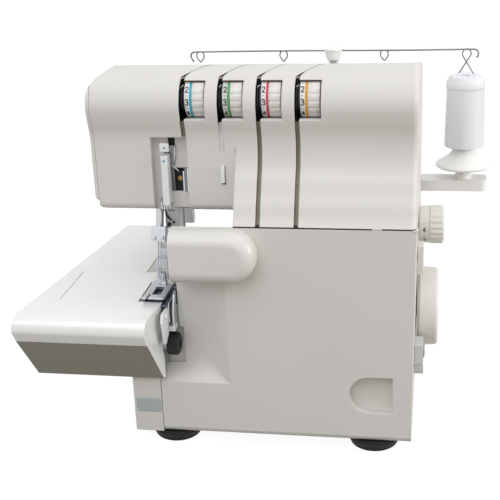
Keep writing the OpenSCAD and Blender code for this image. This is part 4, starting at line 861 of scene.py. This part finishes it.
# What shows in the needle recess. Depths are from the recess floor; a block is its low corner,
# its high corner, its look and how far its top leans along x
head = {"floor": 33, "wire": 0.55, "edge": 0.15,
        "looks": ["darkSteel", "black", "bronze", "steel"],
        "plates": (((-192.8, 1.6, 205.6), (-185.8, 3.2, 225.4), 0, 0),  # steel plate, left half
                   ((-185.4, 2.4, 205.6), (-178.6, 4, 225.4), 1, 0),  # dark plate, right half
                   ((-185.9, 0.2, 205.8), (-185.1, 2.6, 225.2), 0, 0),  # divider
                   ((-178.5, -0.4, 206.2), (-177.3, 2.4, 222.4), 3, 0),  # bright edge
                   ((-176.9, -1.2, 206), (-175.4, 2.4, 225), 0, 0),  # polished bars
                   ((-174.9, -2, 206), (-173.7, 2.4, 225), 3, 0)),
        "eyelet": (-181.3, 2, 216),
        "eyeletOutline": ((0.9, 0), (1.9, 0), (2.1, 0.3), (1.9, 0.6), (0.9, 0.6)),
        "fittings": (((-189.9, 1.4, 241.2), (-183.4, 3, 250.2), 1, 0),  # black block behind the slot hole at the top, as painted shade
                     ((-193, -2.2, 234.4), (-191.8, -1, 238.4), 1, 1.8),  # two prongs
                     ((-190.4, -2.2, 234.4), (-189.2, -1, 238.4), 1, 1.8),
                     ((-188.9, -1.6, 225.6), (-184.6, -0.2, 243.2), 0, 1.3),  # leaf of the guide
                     ((-191.4, -1, 195.4), (-188.2, -0.2, 206.6), 0, 0.4)),  # strip below it
        "upperHook": ((-183.5, 1, 243.5), (-183.2, -2, 242.5), (-183, -3.4, 239.5),
                      (-183.4, -3.2, 235.5), (-184.2, -2.4, 231), (-185, -0.6, 227.5),
                      (-185.4, 1.5, 226.5)),
        "lowerHook": ((-186.6, -1.6, 227.4), (-184, -1.2, 225.4), (-181.6, -0.6, 222.6),
                      (-180, 1.5, 220.8)),
        "lipHooks": (-196.4, -192.6, -190.2),
        "lipHook": ((0, 1, 200.5), (0.2, -3, 199.6), (0.7, -5.6, 197), (1.5, -6, 193.6),
                    (2.6, -4.6, 191.4), (3.4, -2, 191))}
# cast bush of the bars under the arm, with its screws and a bent clip
bush = {"blocks": (((-196.6, 39.4, 173.4), (-184.6, 44.9, 196.4), 0),
                   ((-184.5, 38.9, 173.4), (-183.4, 44.9, 196.4), 1)),
        "screws": ((-193.6, 176.6, 1.5), (-189.8, 178.4, 1.1), (-194.4, 182.2, 0.8)),
        "screwY": 38.5, "screwLong": 1.1, "clipWire": 0.5, "edge": 0.3,
        "clip": ((-196, 38.9, 188), (-195.2, 38.3, 184), (-193.2, 38.3, 182),
                 (-191.6, 38.9, 179.6))}
# coloured marks (x, z, thickness) on the guides, and the shadow round the thread clip
dots = {"y": 21.15, "radius": 0.85, "marks": ((-188.8, 243.7, 0.3), (-190, 233.4, 0.6)),
        "shadow": ((-146.1, 24.55, 214.5), (-143.1, 24.85, 228.8))}


def addDisc(shape, centre, radius, thick, look):
    outline = [(0.05, 0), (radius, 0), (radius, thick), (0.05, thick)]
    addTurned(shape, centre, "y", outline, look, 20)


def needleHead():
    h = head
    shape = newShape()

    def deep(p, left=0):
        return (left + p[0], h["floor"] + p[1], p[2])

    for low, high, look, lean in h["plates"]:
        addBlock(shape, deep(low), deep(high), look, lean)
    addTurned(shape, deep(h["eyelet"]), "y", h["eyeletOutline"], 2, 24)
    for low, high, look, lean in h["fittings"]:
        addBlock(shape, deep(low), deep(high), look, lean)
    buildPiece("needleHead", shape, "front_cover", h["looks"], edge=h["edge"])

    casting = newShape()
    for low, high, look in bush["blocks"]:
        addBlock(casting, low, high, look)
    for x, z, radius in bush["screws"]:
        addDisc(casting, (x, bush["screwY"], z), radius, bush["screwLong"], 2)
    addTube(casting, bush["clip"], bush["clipWire"], 2)
    buildPiece("barBush", casting, "machine_frame", ["alloy", "paintedSteel", "black"],
               edge=bush["edge"])

    hooks = newShape()
    for name in ("upperHook", "lowerHook"):
        addTube(hooks, [deep(p) for p in h[name]], h["wire"])
    for left in h["lipHooks"]:
        addTube(hooks, [deep(p, left) for p in h["lipHook"]], h["wire"])
    buildPiece("threadHooks", hooks, "front_cover", ["steel"])

    marks = newShape()
    for look, (x, z, thick) in enumerate(dots["marks"]):
        addDisc(marks, (x, dots["y"], z), dots["radius"], thick, look)
    addBlock(marks, *dots["shadow"], 2)
    buildPiece("threadingDots", marks, "thread_guides", ["stripeGreen", "stripeBlue", "paintedShade"])


needleHead()
print("needle recess made")


# Guide wire of the thread stand: a straight wire with a hook at its left end, three pointed eyes,
# and a bend with a crossed eye at its right end. pins are their places along the wire from the
# pole, and the shapes' points are (x, z) from their pin
guideWire = {"y": 208, "z": 284.5, "radius": 0.75, "poleX": -77.5, "eyeShare": 0.8,
             "pins": (-121.6, -45, 45, 116.5), "eyeY": 1.4, "crossedY": 1.6,
             "wave": 0.25, "waveRun": 40, "spacing": 8, "bendReach": 6, "bendRadius": 4,
             "hook": ((-5.9, -9.2), (-7.4, -6.6), (-8.6, -4), (-7.9, -1.6), (-6.2, -0.3),
                      (-4.2, 0)),
             "eye": ((-1.2, 0), (-2.9, -1.6), (-3.4, -4), (-2.4, -6.6), (-0.5, -9),
                     (0.5, -9), (2.4, -6.6), (3.4, -4), (2.9, -1.6), (1.2, 0)),
             "crossed": ((-6.2, -21), (0.2, -10.6), (3.6, -4.6), (3, -1.6), (0, 0.4),
                         (-3, -1.6), (-3.6, -4.6), (-0.2, -10.6), (6.2, -21))}


def wireOnStand():
    g = guideWire
    shape = newShape()
    y, z, bend = g["y"], g["z"], g["bendRadius"]
    first, *_, last = [g["poleX"] + pin for pin in g["pins"]]

    def curve(name, x, steps):
        return smoothLine([(x + u, z + v) for u, v in g[name]], steps)

    wire = [(p.x, y, p.y) for p in curve("hook", first, 4)]
    wire += [(x, y, z + g["wave"] * math.sin((x - first) / g["waveRun"]))
             for x in range(int(first) - 2, int(last) + 3, g["spacing"])]
    wire += [(last + g["bendReach"] + bend * math.sin(a), y, z - bend + bend * math.cos(a))
             for a in [math.radians(12 * k) for k in range(13)]]
    addTube(shape, wire, g["radius"])
    thin = g["radius"] * g["eyeShare"]
    for pin in g["pins"][:3]:
        eye = curve("eye", g["poleX"] + pin, 4)
        addTube(shape, [(p.x, y + g["eyeY"], p.y) for p in eye], thin)
    crossed = curve("crossed", last, 5)
    halfTurn = math.pi / (len(crossed) - 1)  # the two legs pass in front of and behind each other
    addTube(shape, [(p.x, y + g["crossedY"] * math.cos(halfTurn * k), p.y)
                    for k, p in enumerate(crossed)], thin)
    buildPiece("guideWireBent", shape, "guide_wire", ["darkSteel"], ["guide_wire"])


wireOnStand()


# Numbers of the stitch-length dial, wrapped on its smooth collar
lengthDial = {"x": 6.4, "y": 90, "z": 163.3, "radius": 15.05, "pitch": 38, "highest": 4,
              "digitHeight": 3.7, "digitWidth": 2.1, "stroke": 0.65, "tick": 0.5,
              "tickStroke": 0.35}


def lengthNumbers():
    d = lengthDial
    marks = newShape()
    wrap = onDrum(d["x"], d["y"], d["z"], d["radius"])
    pitch = math.radians(d["pitch"]) * d["radius"]
    for k in range(d["highest"]):
        addDigit(marks, str(d["highest"] - k), -k * pitch, d, wrap)
        addTick(marks, -(k - 0.5) * pitch, d, wrap)
    buildPiece("lengthNumbers", marks, "stitch_length_dial", ["print"])


lengthNumbers()


# Thin skirts that close the gaps between the side wall and the handwheel and length dial:
# piece, height of its axis, radius, and where it starts and ends along x
skirts = {"handwheel": ("wheelSkirt", 91.5, 30, 1.75, 3.9),
          "stitch_length_dial": ("lengthSkirt", 163.3, 14.4, 2.2, 3.4)}
skirtCut = {"y": 90, "wide": 3, "chamfer": 0.4, "sides": 64}


def wheelSkirts():
    wide, chamfer = skirtCut["wide"], skirtCut["chamfer"]
    for node, (name, z, r, near, far) in skirts.items():
        shape = newShape()
        outline = [(r - wide, near), (r - chamfer, near), (r, near + chamfer), (r, far),
                   (r - wide, far)]
        addTurned(shape, (0, skirtCut["y"], z), "x", outline, 0, skirtCut["sides"])
        buildPiece(name, shape, node, ["dial"])


wheelSkirts()
print("stand and dials finished")

# nodes that stay as they are, and nodes that a piece above replaces
inner = ["machine_frame", "main_bearings", "motor", "motor_pulley", "drive_belt", "drive_pulley",
         "main_shaft", "tension_bracket", "case_screws", "cover_hinge_pin", "presser_spring",
         "base_plate"]
rebuilt = ["front_cover", "guide_wire"] + ["tension_dial_%d" % k for k in range(1, 5)]
for name in sorted(nodes):
    if name not in inner and name not in rebuilt:
        # the cloth plate's downward faces take the painted shade
        refined(name, underShadeLook="plateUnderShade" if name == "cloth_plate" else None)
print("casing finished")

# Studio, in metres from the frame's origin; only view["place"] is in the casing's millimetres
room = {"ambient": 0.86, "backdrop": 1.0, "floorHalf": 3.0, "paper": "#7E7A71",
        "paperSeen": "#F2F2F0", "paperGlow": 1.1, "glowShare": 0.85}
lamps = {"topSoftbox": {"place": (-0.3, -1.0, 1.35), "aim": (0, 0, 0.15), "size": 1.1, "power": 7,
                        "tint": "#F8FBFF"},
         "rightStrip": {"place": (1.5, -0.22, 0.5), "aim": (0.1, 0, 0.15), "size": 0.6, "power": 9,
                        "tint": "#FFFFFF"}}
view = {"lens": 76.6, "sensor": 36, "near": 0.05, "place": (14.546, -740.278, 444.84),
        "right": (0.98513, 0.16741, -0.03861), "up": (-0.02162, 0.34378, 0.93881)}
white = linear("#FFFFFF")


def backgroundRays(tree):
    # 1 for the rays that show a background: straight, in a reflection or through glass
    path = addNode(tree, "ShaderNodeLightPath")
    seen = addNode(tree, "ShaderNodeMath", {"operation": "MAXIMUM"},
                   links={0: path.outputs["Is Camera Ray"], 1: path.outputs["Is Glossy Ray"]})
    seen = addNode(tree, "ShaderNodeMath", {"operation": "MAXIMUM"},
                   links={0: seen.outputs[0], 1: path.outputs["Is Transmission Ray"]})
    return seen.outputs[0]


def litWorld():
    world = bpy.data.worlds.new("studio")
    tree = emptyTree(world)
    seen = backgroundRays(tree)
    ambient = addNode(tree, "ShaderNodeBackground",
                      inputs={"Color": white, "Strength": room["ambient"]})
    backdrop = addNode(tree, "ShaderNodeBackground",
                       inputs={"Color": white, "Strength": room["backdrop"]})
    mixed = addNode(tree, "ShaderNodeMixShader",
                    links={0: seen, 1: ambient.outputs[0], 2: backdrop.outputs[0]})
    addNode(tree, "ShaderNodeOutputWorld", links={"Surface": mixed.outputs[0]})
    return world


def whitePaper():
    # Matt paper that glows for the background rays, and keeps the object's shadow
    paper = bpy.data.materials.new("whitePaper")
    tree = emptyTree(paper)
    seen = backgroundRays(tree)
    share = addNode(tree, "ShaderNodeMath", {"operation": "MULTIPLY"}, {1: room["glowShare"]},
                    {0: seen})
    tone = mixedColour(tree, seen, room["paper"], room["paperSeen"])
    matt = addNode(tree, "ShaderNodeBsdfDiffuse", links={"Color": tone})
    glow = addNode(tree, "ShaderNodeEmission",
                   inputs={"Color": white, "Strength": room["paperGlow"]})
    mixed = addNode(tree, "ShaderNodeMixShader",
                    links={0: share.outputs[0], 1: matt.outputs[0], 2: glow.outputs[0]})
    addNode(tree, "ShaderNodeOutputMaterial", links={"Surface": mixed.outputs[0]})
    return paper


def layFloor():
    half = room["floorHalf"]
    mesh = bpy.data.meshes.new("studioFloor")
    mesh.from_pydata([(-half, -half, 0), (half, -half, 0), (half, half, 0), (-half, half, 0)], [],
                     [(0, 1, 2, 3)])
    floor = placed("studioFloor", mesh)
    mesh.materials.append(whitePaper())


def hangLamps():
    for name, lamp in lamps.items():
        light = bpy.data.lights.new(name, "AREA")
        light.size = lamp["size"]
        light.energy = lamp["power"]
        light.color = linear(lamp["tint"])[:3]
        holder = placed(name, light)
        holder.location = lamp["place"]
        towards = Vector(lamp["aim"]) - holder.location
        holder.rotation_euler = towards.to_track_quat("-Z", "Y").to_euler()


def newCamera():
    lens = bpy.data.cameras.new("view")
    lens.lens = view["lens"]
    lens.sensor_width = view["sensor"]
    lens.clip_start = view["near"]
    camera = placed("view", lens)
    right, up = Vector(view["right"]), Vector(view["up"])
    turn = Matrix((right, up, right.cross(up))).transposed().to_4x4()
    camera.matrix_world = Matrix.Translation(at(*view["place"])) @ turn
    return camera


studio = bpy.context.scene
studio.view_settings.view_transform = "Standard"
studio.world = litWorld()
layFloor()
hangLamps()
studio.camera = newCamera()
print("stage made")
